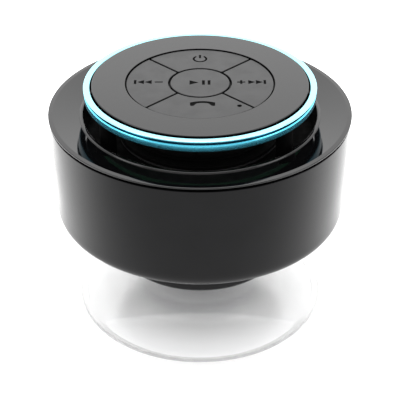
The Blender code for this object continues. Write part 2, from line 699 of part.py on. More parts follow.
def make_keys():
    """Five keys with their stems, the membrane under them and the snap domes that they press."""
    membrane_profile = disc_profile(PLATE_RADIUS - GAP, MEMBRANE_BOTTOM_Z, MEMBRANE_TOP_Z)
    membrane = turned("key_membrane", membrane_profile, "soft rubber")
    membrane_low, membrane_high = MEMBRANE_BOTTOM_Z - 1e-3, MEMBRANE_TOP_Z + 1e-3
    stem_bottom = KEY_BOARD_TOP_Z + 1.4e-3
    for name, angle in key_places().items():
        middle = key_middle(angle)
        if angle is None:
            side = [(CENTRE_KEY_RADIUS, KEY_THICKNESS - KEY_EDGE), (CENTRE_KEY_RADIUS, 0)]
            top = [(0, KEY_THICKNESS), (CENTRE_KEY_RADIUS - KEY_EDGE, KEY_THICKNESS)]
            bm = turned_mesh(top + side + [(0, 0)], INNER_SIDES)
        else:
            bm = sector_mesh(angle, middle)
        key = add_piece(f"key_{name}", bm, "key rubber", (*middle, KEY_BOTTOM_Z))
        join(key, [rod(STEM_RADIUS, stem_bottom, KEY_BOTTOM_Z + 0.4e-3, middle)])
        if name == "handset":
            cut(key, [rod(MIC_HOLE, KEY_BOTTOM_Z - 1e-3, TOP_Z + 1e-3, MIC_PLACE, 8)])
        cut(membrane, [rod(STEM_RADIUS + 0.5e-3, membrane_low, membrane_high, middle)])
        make_dome(f"dome_{name}", middle)
    cut(membrane, [rod(1.0e-3, membrane_low, membrane_high, MIC_PLACE, 8)])


def make_dome(name, middle):
    """A thin snap dome on the key board."""
    rest_z = KEY_BOARD_TOP_Z + GAP
    points = [
        (0, rest_z + 0.6e-3),
        (1.6e-3, rest_z + 0.45e-3),
        (2.6e-3, rest_z),
        (2.2e-3, rest_z),
        (1.5e-3, rest_z + 0.25e-3),
        (0, rest_z + 0.4e-3),
    ]
    turned(name, points, "steel", SCREW_SIDES, (*middle, 0))


def make_key_board():
    """The round board under the keys, with the microphone."""
    board = disc_profile(KEY_BOARD_RADIUS, KEY_BOARD_BOTTOM_Z, KEY_BOARD_TOP_Z)
    turned("key_board", board, "green board", INNER_SIDES)
    mic_bottom = KEY_BOARD_TOP_Z + GAP
    capsule = disc_profile(2.0e-3, mic_bottom, mic_bottom + 1.2e-3)
    mic = turned("microphone", capsule, "foil", 12, (*MIC_PLACE, 0))
    cut(mic, [rod(0.5e-3, mic_bottom + 0.7e-3, mic_bottom + 2e-3, MIC_PLACE, 8)])


# Electronics, in the frame of the charging port: X outwards, Z up


def make_electronics(port_frame):
    """The main board with its radio module, amplifier, capacitor and charging socket."""
    board_size = (21e-3, 34e-3, BOARD_THICKNESS)
    board_centre = (30.5e-3, 0, (MAIN_BOARD_TOP_Z + MAIN_BOARD_BOTTOM_Z) / 2)
    box_piece("main_board", board_size, board_centre, "green board", 2e-3, port_frame)

    rest_z = MAIN_BOARD_TOP_Z + GAP
    module_size = (12e-3, 11e-3, 2.0e-3)
    module_centre = (27.5e-3, 9.5e-3, rest_z + module_size[2] / 2)
    box_piece("bluetooth_module", module_size, module_centre, "blue board", parent=port_frame)
    chip_size = (6e-3, 5e-3, 1.1e-3)
    chip_centre = (30e-3, -6.5e-3, rest_z + chip_size[2] / 2)
    box_piece("amplifier_chip", chip_size, chip_centre, "chip", parent=port_frame)
    can = disc_profile(3.0e-3, rest_z, rest_z + 7e-3)
    turned("filter_capacitor", can, "foil", 16, (34.5e-3, -13e-3, 0), port_frame)
    socket_size = (5.6e-3, 7.8e-3, 2.7e-3)
    socket_centre = (40.3e-3, 0, rest_z + socket_size[2] / 2)
    socket = box_piece("usb_socket", socket_size, socket_centre, "steel", parent=port_frame)
    mouth_low = (38.5e-3, -3.5e-3, rest_z + 0.4e-3)
    mouth_high = (45e-3, 3.5e-3, rest_z + 2.3e-3)
    cut(socket, [block(mouth_low, mouth_high, port_frame)])


def make_leads(port_frame):
    """The key board's cable and the leads to the loudspeaker and the cell."""
    board_top = MAIN_BOARD_TOP_Z + GAP
    drop = CABLE_CIRCLE + 0.8e-3
    cable = [(CABLE_CIRCLE, 0, KEY_BOARD_BOTTOM_Z - GAP), (CABLE_CIRCLE, 0, BAFFLE_BOTTOM_Z - 3e-3)]
    cable += [(drop, 0, BAFFLE_BOTTOM_Z - 7e-3), (drop, 0, board_top)]
    wire("key_cable", cable, CABLE_RADIUS, "chip", port_frame)
    speaker = [(17.8e-3, -7e-3, BASKET_FLOOR_Z + 1.6e-3), (21e-3, -10e-3, 52e-3), (23e-3, -12e-3, board_top)]
    wire("speaker_lead", speaker, 0.7e-3, "red sleeve", port_frame)
    battery = [(17.6e-3, 0, 32e-3), (21e-3, 0, 34e-3), (23e-3, 3e-3, 41e-3)]
    battery.append((24e-3, 4e-3, MAIN_BOARD_BOTTOM_Z - GAP))
    wire("battery_lead", battery, 0.8e-3, "red sleeve", port_frame)


def make_battery(port_frame):
    """A flat pouch cell on a foam pad, above the hub of the cup's insert."""
    pad_size = (30e-3, 22e-3, 1.0e-3)
    pad_bottom = INSERT_TOP_Z + 0.4e-3
    box_piece("battery_pad", pad_size, (0, 0, pad_bottom + pad_size[2] / 2), "foam", parent=port_frame)
    cell_size = (34e-3, 26e-3, 6.5e-3)
    cell_bottom = pad_bottom + pad_size[2] + GAP
    box_piece("battery_cell", cell_size, (0, 0, cell_bottom + cell_size[2] / 2), "foil", 2e-3, port_frame)


# Suction cup


def make_cup():
    """The clear cup: a hub, a thick centre disc and a thin skirt that curves down to the sealing rim."""
    hub_radius = 10.0e-3
    disc_radius = 24.2e-3
    disc_top = 9.6e-3
    edge = 0.8e-3
    skirt_top = 7.8e-3
    rim_top = 0.8e-3
    seal_inner = CUP_RADIUS - 2.6e-3
    hollow_height = 6.4e-3
    steps = 5
    skirt_width = CUP_RADIUS - 0.2e-3 - disc_radius
    skirt = []
    hollow = []
    for i in range(steps + 1):
        share = i / steps
        skirt.append((disc_radius + skirt_width * share, skirt_top - (skirt_top - rim_top) * share**1.3))
        hollow.append((seal_inner * cos(share * pi / 2), hollow_height * sin(share * pi / 2) ** 1.4))
    pocket_bottom = CUP_FLANGE_Z - CUP_FLANGE_THICKNESS
    points = [
        (0, pocket_bottom),
        (CUP_FLANGE_RADIUS, pocket_bottom),
        (CUP_FLANGE_RADIUS, CUP_FLANGE_Z),
        (STUD_BORE, CUP_FLANGE_Z),
        (STUD_BORE, CUP_HUB_TOP_Z),
        (hub_radius - edge / 2, CUP_HUB_TOP_Z),
        (hub_radius, CUP_HUB_TOP_Z - edge / 2),
        (hub_radius, disc_top),
        (disc_radius - edge, disc_top),
        (disc_radius, disc_top - edge),
        *skirt,
        (CUP_RADIUS, rim_top / 2),
        (CUP_RADIUS - rim_top / 2, 0),
        *hollow[:-1],
        (0, hollow_height),
    ]
    turned("suction_cup", points, "clear vinyl")


def make_stud():
    """The threaded stud moulded into the cup, and the washer that beds the cup against the boss."""
    radius = STUD_BORE - GAP
    flange = CUP_FLANGE_RADIUS - GAP
    top = BOSS_BOTTOM_Z + 7.0e-3
    flange_top = CUP_FLANGE_Z - GAP
    bottom = CUP_FLANGE_Z - CUP_FLANGE_THICKNESS + GAP
    chamfer = 0.4e-3
    points = [(0, top), (radius - chamfer, top), (radius, top - chamfer), (radius, flange_top)]
    points += [(flange, flange_top), (flange, bottom), (0, bottom)]
    turned("cup_stud", points, "steel", 16)
    washer = tube_profile(3.6e-3, 9.0e-3, CUP_HUB_TOP_Z + GAP, BOSS_BOTTOM_Z - GAP)
    turned("cup_washer", washer, "soft rubber", INNER_SIDES)


def build():
    clear_scene()
    port_frame = empty("port_frame", turn=PORT_ANGLE)
    make_housing(port_frame)
    make_port_plug(port_frame)
    make_rear_cover()
    make_collar()
    make_baffle()
    make_driver_frame()
    make_motor()
    make_cone()
    make_suspension()
    make_pod_base()
    make_face()
    make_keys()
    make_key_board()
    make_electronics(port_frame)
    make_leads(port_frame)
    make_battery(port_frame)
    make_cup()
    make_stud()


build()
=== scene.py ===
"""Looks of the shower speaker: smooth shells, keys with sunk symbols, a clear cup and a bright studio."""

import json
from math import asin, atan2, ceil, cos, hypot, pi, radians, sin, tan

import bmesh
import bpy
from mathutils import Matrix, Vector


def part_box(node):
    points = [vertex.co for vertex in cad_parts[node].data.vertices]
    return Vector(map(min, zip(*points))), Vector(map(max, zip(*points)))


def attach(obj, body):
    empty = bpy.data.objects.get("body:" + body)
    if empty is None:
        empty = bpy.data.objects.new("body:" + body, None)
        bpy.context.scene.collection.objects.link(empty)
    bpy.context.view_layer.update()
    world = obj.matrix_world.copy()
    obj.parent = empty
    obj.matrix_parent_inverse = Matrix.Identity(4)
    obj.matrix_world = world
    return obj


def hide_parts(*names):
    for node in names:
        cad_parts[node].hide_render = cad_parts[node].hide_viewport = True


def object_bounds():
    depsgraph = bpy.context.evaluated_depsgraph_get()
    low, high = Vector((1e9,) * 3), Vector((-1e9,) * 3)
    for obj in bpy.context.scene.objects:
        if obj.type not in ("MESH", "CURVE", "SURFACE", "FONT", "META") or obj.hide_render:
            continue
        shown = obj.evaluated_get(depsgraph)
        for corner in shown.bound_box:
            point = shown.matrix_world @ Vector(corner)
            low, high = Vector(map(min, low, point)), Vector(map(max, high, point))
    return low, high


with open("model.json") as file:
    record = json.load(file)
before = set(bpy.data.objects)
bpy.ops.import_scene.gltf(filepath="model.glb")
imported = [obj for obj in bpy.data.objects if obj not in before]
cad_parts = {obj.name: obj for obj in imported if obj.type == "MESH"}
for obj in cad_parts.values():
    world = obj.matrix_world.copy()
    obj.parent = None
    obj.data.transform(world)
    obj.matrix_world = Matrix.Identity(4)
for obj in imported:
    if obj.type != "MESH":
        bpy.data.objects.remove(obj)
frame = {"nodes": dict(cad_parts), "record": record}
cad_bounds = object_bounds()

MM = 0.001
AROUND = 192  # facets round the big turned pieces
AROUND_FINE = 256  # round the rims that the light runs along
AROUND_MIDDLE = 128  # round the pod, the middle key and the driver's plates
AROUND_SMALL = 96  # round the small pieces inside
GAP = 0.3 * MM  # clearance between fitted pieces, as in the frame
WALL = 2.0 * MM  # thickness of the drum and its cover


# Reading the frame


def corners_of(node):
    return [v.co for v in frame["nodes"][node].data.vertices]


def radii_near(node, height, margin=0.05 * MM):
    """Smallest and largest distance from the axis of a CAD node's corners near a height."""
    found = [hypot(c.x, c.y) for c in corners_of(node) if abs(c.z - height) < margin]
    return min(found), max(found)


def top(node):
    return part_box(node)[1].z


def bottom(node):
    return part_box(node)[0].z


def reach(node):
    """Outer radius of a turned CAD node."""
    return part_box(node)[1].x


def extent(node):
    """Lowest and highest point of a turned CAD node, and its outer radius."""
    return bottom(node), top(node), reach(node)


def heights_between(node, inner, outer):
    """Lowest and highest corner of a CAD node between two radii."""
    found = [c.z for c in corners_of(node) if inner <= hypot(c.x, c.y) <= outer]
    return min(found), max(found)


def middle_of(node):
    """Middle of a CAD node, seen from above."""
    low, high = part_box(node)
    return ((low.x + high.x) / 2, (low.y + high.y) / 2)


def screw_places(kind, count):
    return [middle_of(f"{kind}_{i}") for i in range(1, count + 1)]


# Meshes


def rounded(*corners, steps=6):
    """Outline points from (radius, height) corners; a third value rounds that corner."""
    points = []
    for i, corner in enumerate(corners):
        here = Vector(corner[:2])
        if len(corner) == 2:
            points.append(tuple(here))
            continue
        radius = corner[2]
        before = (Vector(corners[i - 1][:2]) - here).normalized()
        after = (Vector(corners[(i + 1) % len(corners)][:2]) - here).normalized()
        half = before.angle(after) / 2
        centre = here + (before + after).normalized() * radius / sin(half)
        first = here + before * radius / tan(half) - centre
        last = here + after * radius / tan(half) - centre
        start = atan2(first.y, first.x)
        sweep = (atan2(last.y, last.x) - start + pi) % (2 * pi) - pi
        for step in range(steps + 1):
            angle = start + sweep * step / steps
            points.append(tuple(centre + radius * Vector((cos(angle), sin(angle)))))
    return points


def ring_of(bm, radius, height, around):
    """A ring of corners round the axis, or a single corner on it."""
    turns = [2 * pi * i / around for i in range(around if radius > 1e-9 else 1)]
    return [bm.verts.new((radius * cos(a), radius * sin(a), height)) for a in turns]


def bridge(bm, one, other):
    """Faces between two rings of corners."""
    count = max(len(one), len(other))
    for i in range(count):
        j = (i + 1) % count
        corners = (one[i % len(one)], one[j % len(one)], other[j % len(other)], other[i % len(other)])
        face = list(dict.fromkeys(corners))
        if len(face) > 2:
            bm.faces.new(face)


def lathe_mesh(points, around):
    """A bmesh turned about Z; an outline that starts and ends on the axis closes there."""
    bm = bmesh.new()
    rings = [ring_of(bm, radius, height, around) for radius, height in points]
    for low, high in zip(rings, rings[1:]):
        bridge(bm, low, high)
    if len(rings[0]) > 1:
        bridge(bm, rings[-1], rings[0])
    return bm


def finish_piece(name, bm, material, sharp=35):
    """Makes the object, shaded smooth between edges sharper than the given angle in degrees."""
    bmesh.ops.recalc_face_normals(bm, faces=bm.faces)
    mesh = bpy.data.meshes.new(name)
    bm.to_mesh(mesh)
    bm.free()
    mesh.shade_smooth()
    mesh.set_sharp_from_angle(angle=radians(sharp))
    piece = bpy.data.objects.new(name, mesh)
    bpy.context.scene.collection.objects.link(piece)
    if material:
        mesh.materials.append(material)
    return piece


def even_normals(piece):
    """Keeps the flat faces flat beside their rounded edges."""
    weighted = piece.modifiers.new("even_normals", "WEIGHTED_NORMAL")
    weighted.keep_sharp = True
    weighted.weight = 100


def place(piece, body, slot, *nodes):
    """Lets the piece ride on its body and stand for CAD nodes."""
    even_normals(piece)
    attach(piece, body)
    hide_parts(*nodes)


def turned(name, points, material, around=AROUND, sharp=35):
    return finish_piece(name, lathe_mesh(points, around), material, sharp)


def paint(piece, material):
    """Gives the piece one material in place of what it has."""
    piece.data.materials.clear()
    piece.data.materials.append(material)


def move_to(piece, at):
    """Shifts the piece's mesh sideways to a place seen from above."""
    piece.data.transform(Matrix.Translation((*at, 0)))


def bake(piece):
    """Turns the piece's modifiers into its mesh."""
    graph = bpy.context.evaluated_depsgraph_get()
    mesh = bpy.data.meshes.new_from_object(piece.evaluated_get(graph))
    piece.modifiers.clear()
    piece.data = mesh


def combine(piece, operation, others, sharp=35):
    """Cuts the others from the piece or joins them to it, and removes them."""
    for other in others:
        boolean = piece.modifiers.new("combine", "BOOLEAN")
        boolean.operation = operation
        boolean.object = other
        boolean.solver = "EXACT"
    bpy.context.view_layer.update()
    bake(piece)
    for other in others:
        bpy.data.objects.remove(other)
    piece.data.shade_smooth()
    piece.data.set_sharp_from_angle(angle=radians(sharp))


def rod(radius, low, high, at=(0, 0), around=24):
    """A plain round helper for cuts and joins."""
    bm = lathe_mesh([(0, low), (radius, low), (radius, high), (0, high)], around)
    bmesh.ops.translate(bm, verts=bm.verts, vec=(*at, 0))
    return finish_piece("helper", bm, None)


def prism_mesh(bm, outline, low, high):
    """Adds an upright prism over a flat outline, and returns its lower and upper corners."""
    lower = [bm.verts.new((x, y, low)) for x, y in outline]
    upper = [bm.verts.new((x, y, high)) for x, y in outline]
    bm.faces.new(lower)
    bm.faces.new(upper)
    bridge(bm, lower, upper)
    return lower, upper


# Materials


NOISE_LOW, NOISE_HIGH = 0.35, 0.65  # nearly all of a noise lies between these


def new_material(name, colour, roughness, metallic=0.0):
    material = bpy.data.materials.new(name)
    material.use_nodes = True
    shader = material.node_tree.nodes["Principled BSDF"]
    shader.inputs["Base Color"].default_value = (*colour, 1)
    shader.inputs["Roughness"].default_value = roughness
    shader.inputs["Metallic"].default_value = metallic
    return material


def add_node(material, kind, **inputs):
    node = material.node_tree.nodes.new(kind)
    for key, value in inputs.items():
        node.inputs[key.replace("_", " ")].default_value = value
    return node


def link(material, output, target):
    material.node_tree.links.new(output, target)


def shader_of(material):
    return material.node_tree.nodes["Principled BSDF"]


def noise(material, size, detail=3.0):
    """A noise whose features are about the given size in metres."""
    place_node = add_node(material, "ShaderNodeTexCoord")
    texture = add_node(material, "ShaderNodeTexNoise", Scale=1 / size, Detail=detail)
    link(material, place_node.outputs["Object"], texture.inputs["Vector"])
    return texture


def spread(material, output, near, far, low, high, kind="LINEAR"):
    """A value that runs from low to high while the output runs from near to far."""
    node = add_node(material, "ShaderNodeMapRange", From_Min=near, From_Max=far, To_Min=low, To_Max=high)
    node.interpolation_type = kind
    link(material, output, node.inputs["Value"])
    return node.outputs["Result"]


def smooth_step(material, output, near, far, low, high):
    """The same, with a soft start and end."""
    return spread(material, output, near, far, low, high, "SMOOTHSTEP")


def calculate(material, operation, *values):
    """The result of a sum on outputs and plain numbers."""
    node = add_node(material, "ShaderNodeMath")
    node.operation = operation
    for socket, value in zip(node.inputs, values):
        if isinstance(value, (int, float)):
            socket.default_value = value
        else:
            link(material, value, socket)
    return node.outputs["Value"]


def blend_colours(material, factor, one, other):
    """A mix of two colours, each an output or a plain colour."""
    node = add_node(material, "ShaderNodeMix")
    node.data_type = "RGBA"
    link(material, factor, node.inputs[0])
    for socket, colour in ((node.inputs[6], one), (node.inputs[7], other)):
        if isinstance(colour, tuple):
            socket.default_value = (*colour, 1)
        else:
            link(material, colour, socket)
    return node.outputs[2]


def split_coordinates(material, kind):
    """The coordinates of the point that is shaded, whole and as X, Y and Z outputs."""
    coords = add_node(material, "ShaderNodeTexCoord")
    split = add_node(material, "ShaderNodeSeparateXYZ")
    link(material, coords.outputs[kind], split.inputs["Vector"])
    return coords.outputs[kind], split.outputs


def length_of(material, vector):
    node = add_node(material, "ShaderNodeVectorMath")
    node.operation = "LENGTH"
    link(material, vector, node.inputs[0])
    return node.outputs["Value"]


def vary_roughness(material, size, low, high):
    """Roughness that wanders between two values."""
    texture = noise(material, size)
    wander = spread(material, texture.outputs["Fac"], NOISE_LOW, NOISE_HIGH, low, high)
    link(material, wander, shader_of(material).inputs["Roughness"])


def vary_colour(material, size, one, other):
    """Colour that wanders between two."""
    texture = noise(material, size, 5.0)
    ramp = add_node(material, "ShaderNodeValToRGB")
    for stop, share, colour in zip(ramp.color_ramp.elements, (NOISE_LOW, NOISE_HIGH), (one, other)):
        stop.position = share
        stop.color = (*colour, 1)
    link(material, texture.outputs["Fac"], ramp.inputs["Fac"])
    link(material, ramp.outputs["Color"], shader_of(material).inputs["Base Color"])


def add_grain(material, size, depth, strength=1.0, detail=2.0):
    """Fine surface relief: features of a size, of a depth, both in metres."""
    texture = noise(material, size, detail)
    bump = add_node(material, "ShaderNodeBump", Strength=strength, Distance=depth)
    link(material, texture.outputs["Fac"], bump.inputs["Height"])
    link(material, bump.outputs["Normal"], shader_of(material).inputs["Normal"])


def gloss_black(name, smoothest, roughest):
    """Polished black plastic with a hint of moulding ripple."""
    material = new_material(name, (0.0012, 0.0012, 0.0014), smoothest)
    vary_roughness(material, 6 * MM, smoothest, roughest)
    add_grain(material, 1.5 * MM, 0.001 * MM, 0.5)
    return material


def satin_black():
    """Spark-textured black plastic of the drum and its cover."""
    material = new_material("satin_black", (0.003, 0.003, 0.0035), 0.2)
    shader_of(material).inputs["Specular IOR Level"].default_value = 0.2
    vary_roughness(material, 9 * MM, 0.17, 0.22)
    vary_colour(material, 9 * MM, (0.0026, 0.0026, 0.0030), (0.0034, 0.0034, 0.0040))
    add_grain(material, 0.3 * MM, 0.003 * MM, 0.5)
    return material


def shadow_black():
    """Matte black plastic inside the sound gap."""
    material = new_material("shadow_black", (0.0015, 0.0015, 0.0015), 0.8)
    shader_of(material).inputs["Specular IOR Level"].default_value = 0.1
    vary_roughness(material, 3 * MM, 0.7, 0.9)
    add_grain(material, 0.4 * MM, 0.01 * MM, 0.3)
    return material


def key_rubber():
    """Silicone keys: matte, faintly grained."""
    material = new_material("key_rubber", (0.006, 0.006, 0.0065), 0.4)
    vary_roughness(material, 5 * MM, 0.36, 0.44)
    vary_colour(material, 7 * MM, (0.005, 0.005, 0.0055), (0.007, 0.007, 0.0075))
    add_grain(material, 0.3 * MM, 0.005 * MM, 0.5)
    return material


def symbol_ink():
    """Dead-black ink in the sunk symbols."""
    material = new_material("symbol_ink", (0.003, 0.003, 0.003), 0.9)
    shader_of(material).inputs["Specular IOR Level"].default_value = 0.05
    add_grain(material, 0.2 * MM, 0.004 * MM, 0.4)
    return material


def soft_rubber():
    """Soft black rubber of the seals, the plug and the sheet under the keys."""
    material = new_material("soft_rubber", (0.02, 0.02, 0.02), 0.7)
    vary_roughness(material, 4 * MM, 0.62, 0.78)
    add_grain(material, 0.35 * MM, 0.01 * MM, 0.5)
    return material


TRIM_CYAN = (0.13, 0.7, 0.94)
LINES_PER_METRE = 14000  # turning lines across the trim


def trim_colour(material, height):
    """Cyan with a painted highlight that pales the crest, and a painted dark reflection: nearly black where
    it is seen as a mirror image.
    """
    crest = top("trim_ring")
    # painted highlight: the colour pales towards white along the top of the crest
    painted_highlight = smooth_step(material, height, crest - 0.8 * MM, crest - 0.1 * MM, 0, 1)
    tint = blend_colours(material, painted_highlight, TRIM_CYAN, (0.4, 0.9, 1))
    rays = add_node(material, "ShaderNodeLightPath")
    # painted dark reflection: glossy rays see the trim as nearly black
    return blend_colours(material, rays.outputs["Is Glossy Ray"], tint, (0.01, 0.07, 0.1))


def turning_lines(material, point, axes):
    """A noise that is drawn out into fine lines round the axis."""
    along = calculate(material, "ARCTAN2", axes["Y"], axes["X"])
    up = calculate(material, "MULTIPLY", axes["Z"], LINES_PER_METRE)
    out = calculate(material, "MULTIPLY", length_of(material, point), LINES_PER_METRE)
    joined = add_node(material, "ShaderNodeCombineXYZ")
    for axis, value in (("X", along), ("Y", up), ("Z", out)):
        link(material, value, joined.inputs[axis])
    lines = add_node(material, "ShaderNodeTexNoise", Scale=1.0, Detail=2.0)
    link(material, joined.outputs["Vector"], lines.inputs["Vector"])
    return lines.outputs["Fac"]


def cyan_metal():
    """Anodised trim with fine turning lines round the axis."""
    material = new_material("cyan_metal", TRIM_CYAN, 0.16, 1.0)
    shader = shader_of(material)
    point, axes = split_coordinates(material, "Object")
    link(material, trim_colour(material, axes["Z"]), shader.inputs["Base Color"])
    lines = turning_lines(material, point, axes)
    bump = add_node(material, "ShaderNodeBump", Strength=0.25, Distance=0.004 * MM)
    link(material, lines, bump.inputs["Height"])
    link(material, bump.outputs["Normal"], shader.inputs["Normal"])
    link(material, spread(material, lines, 0, 1, 0.12, 0.22), shader.inputs["Roughness"])
    return material


def clear_vinyl():
    """Clear soft vinyl with a slight ripple and haze."""
    material = new_material("clear_vinyl", (0.985, 0.99, 0.995), 0.05)
    shader = shader_of(material)
    shader.inputs["Transmission Weight"].default_value = 1.0
    shader.inputs["IOR"].default_value = 1.46
    vary_roughness(material, 12 * MM, 0.14, 0.22)
    add_grain(material, 7 * MM, 0.03 * MM, 0.4)
    let_light_through(material, 0.55)
    return material


def let_light_through(material, opacity):
    """Thins the material to the given opacity, and lets shadow and diffuse rays straight through."""
    rays = add_node(material, "ShaderNodeLightPath").outputs
    passing = calculate(material, "MAXIMUM", rays["Is Shadow Ray"], rays["Is Diffuse Ray"])
    alpha = calculate(material, "MULTIPLY_ADD", passing, -opacity, opacity)
    link(material, alpha, shader_of(material).inputs["Alpha"])


def metal(name, colour, low, high, grain_size):
    """Metal whose roughness wanders between low and high."""
    material = new_material(name, colour, low, 1.0)
    vary_roughness(material, grain_size, low, high)
    add_grain(material, grain_size / 4, 0.004 * MM, 0.4)
    return material


def matte(name, one, other, low, high, grain_size, depth=0.01 * MM):
    """A grained surface that wanders between two colours, and between low and high roughness."""
    material = new_material(name, one, low)
    vary_colour(material, grain_size * 8, one, other)
    vary_roughness(material, grain_size * 5, low, high)
    add_grain(material, grain_size, depth, 0.6)
    return material


MATERIALS = {
    "drum_shell": satin_black(),
    "gloss_shell": gloss_black("gloss_black", 0.03, 0.07),
    "face_shell": gloss_black("face_black", 0.12, 0.18),
    "trim_ring": cyan_metal(),
    "key_rubber": key_rubber(),
    "soft_rubber": soft_rubber(),
    "clear_vinyl": clear_vinyl(),
    "screws": metal("screw_steel", (0.55, 0.55, 0.57), 0.25, 0.4, 0.8 * MM),
    "brass_insert": metal("brass", (0.78, 0.58, 0.25), 0.25, 0.4, 1.0 * MM),
    "circuit_board": matte("circuit_board", (0.02, 0.14, 0.06), (0.03, 0.18, 0.08), 0.3, 0.45, 0.5 * MM),
    "radio_board": matte("radio_board", (0.02, 0.05, 0.18), (0.03, 0.07, 0.22), 0.3, 0.45, 0.5 * MM),
    "chip_resin": matte("chip_resin", (0.015, 0.015, 0.016), (0.022, 0.022, 0.022), 0.5, 0.65, 0.2 * MM),
    "steel_parts": metal("pressed_steel", (0.55, 0.55, 0.56), 0.3, 0.45, 1.2 * MM),
    "ferrite": matte("ferrite", (0.035, 0.035, 0.037), (0.05, 0.05, 0.05), 0.55, 0.75, 0.3 * MM),
    "copper_coil": metal("copper_coil", (0.75, 0.30, 0.14), 0.3, 0.45, 0.3 * MM),
    "speaker_paper": matte("speaker_paper", (0.006, 0.006, 0.006), (0.01, 0.01, 0.01), 0.8, 0.95, 0.3 * MM),
    "spider_cloth": matte("spider_cloth", (0.40, 0.28, 0.09), (0.5, 0.36, 0.12), 0.8, 0.95, 0.3 * MM),
    "foil_pouch": metal("foil_pouch", (0.65, 0.65, 0.67), 0.3, 0.5, 2.0 * MM),
    "foam": matte("foam", (0.02, 0.02, 0.02), (0.03, 0.03, 0.03), 0.85, 1.0, 0.4 * MM, 0.05 * MM),
    "lead_sleeve": matte("lead_sleeve", (0.40, 0.03, 0.02), (0.48, 0.04, 0.03), 0.4, 0.55, 0.4 * MM),
    "shadow": shadow_black(),
    "ink": symbol_ink(),
}

# The record's material slot of each CAD node
SLOTS = {entry["node"]: entry["material_slot"] for entry in frame["record"]["subparts"]}


# Drum, cover and collar

SCREW_HOLE = 1.25 * MM  # for the cover's screws


def cover_ledge():
    """Height of the drum's ledge, which the rear gasket seals against."""
    return top("rear_gasket") + GAP


def drum_outline():
    """The drum's section: tapered outside with a rounded foot, ledge and shoulder inside."""
    low, high, mouth = extent("housing_shell")
    fillet = 5.0 * MM
    foot = radii_near("housing_shell", low + fillet, 0.6 * MM)[1]
    foot -= (mouth - foot) * fillet / (high - low - fillet)  # the taper carried on down to the foot
    opening = radii_near("housing_shell", low)[0]
    ledge = cover_ledge()
    ledge_inner = radii_near("housing_shell", ledge)[0]
    seat = bottom("front_collar")
    shoulder = radii_near("housing_shell", seat)[0]
    inside = mouth - WALL - 0.25 * MM
    rows, fillet_rows = 24, 3  # the lowest rows belong to the fillet
    rise = [i / rows for i in range(rows - 1, fillet_rows, -1)]
    outer = [(foot + (mouth - foot) * share, low + (high - low) * share) for share in rise]
    steps = 8
    corners = rounded(
        (mouth - WALL, high - 0.01 * MM, 0.2 * MM),
        (mouth, high, 0.2 * MM),
        (foot, low, fillet),
        (opening, low, 0.3 * MM),
        (opening, ledge),
        (ledge_inner, ledge),
        (ledge_inner, ledge + 1.6 * MM),
        (foot - WALL, ledge + 1.6 * MM, 0.5 * MM),
        (inside, seat),
        (shoulder, seat, 0.2 * MM),
        (shoulder, seat + 1.4 * MM, 0.2 * MM),
        (inside, seat + 1.4 * MM),
        steps=steps,
    )
    mouth_points = 2 * (steps + 1)
    return corners[:mouth_points] + outer + corners[mouth_points:]


def port_frame_matrix():
    """The frame of the charging port: X outwards through the middle of the plug, Z up."""
    low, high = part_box("port_plug")
    middle = (low + high) / 2
    return Matrix.Rotation(atan2(middle.y, middle.x), 4, "Z") @ Matrix.Translation((0, 0, middle.z))


def rounded_rectangle(width, depth, corner, steps=4):
    """Outline of a rectangle with rounded corners."""
    outline = []
    x, y = width / 2 - corner, depth / 2 - corner
    for quarter, (across, along) in enumerate(((x, y), (-x, y), (-x, -y), (x, -y))):
        for step in range(steps + 1):
            angle = (quarter + step / steps) * pi / 2
            outline.append((across + corner * cos(angle), along + corner * sin(angle)))
    return outline


def soft_box(size, corner, matrix, middle=(0, 0, 0), steps=4):
    """A box helper with its four long edges, along X, rounded."""
    bm = bmesh.new()
    prism_mesh(bm, rounded_rectangle(size[1], size[2], corner, steps), -size[0] / 2, size[0] / 2)
    turn = Matrix(((0, 0, 1, 0), (1, 0, 0, 0), (0, 1, 0, 0), (0, 0, 0, 1)))
    bm.transform(matrix @ Matrix.Translation(middle) @ turn)
    return finish_piece("helper", bm, None)


def plug_size():
    """Width and height of the plug's cap, and the drum's radius at its middle."""
    matrix = port_frame_matrix().inverted()
    corners = [matrix @ c for c in corners_of("port_plug")]
    width = max(c.y for c in corners) * 2
    height = max(c.z for c in corners) * 2
    return width, height, max(c.x for c in corners)


def make_drum():
    """The drum, with a flat pad and a pocket for the port plug, and pillars for the cover's screws."""
    drum = turned("drum_shell", drum_outline(), MATERIALS["drum_shell"])
    width, height, face = plug_size()
    matrix = port_frame_matrix()
    pad = soft_box((3.4 * MM, 16 * MM, 10 * MM), 0.5 * MM, matrix, (45.2 * MM, 0, 0))
    ledge = cover_ledge()
    places = screw_places("cover_screw", 4)
    pillars = [rod(2.9 * MM, ledge + 1 * MM, ledge + 7 * MM, at, 32) for at in places]
    combine(drum, "UNION", [pad, *pillars])
    pocket_size = (6 * MM, width + 2 * GAP, height + 2 * GAP)
    pocket = soft_box(pocket_size, 1.5 * MM, matrix, (face + 1.35 * MM, 0, 0))
    socket_hole = soft_box((12 * MM, 8.6 * MM, 3.6 * MM), 1.0 * MM, matrix, (46 * MM, 0, 0.2 * MM))
    screw_holes = [rod(SCREW_HOLE, ledge - 1 * MM, ledge + 6.1 * MM, at) for at in places]
    combine(drum, "DIFFERENCE", [pocket, socket_hole, *screw_holes], 30)
    place(drum, "root", "drum_shell", "housing_shell")


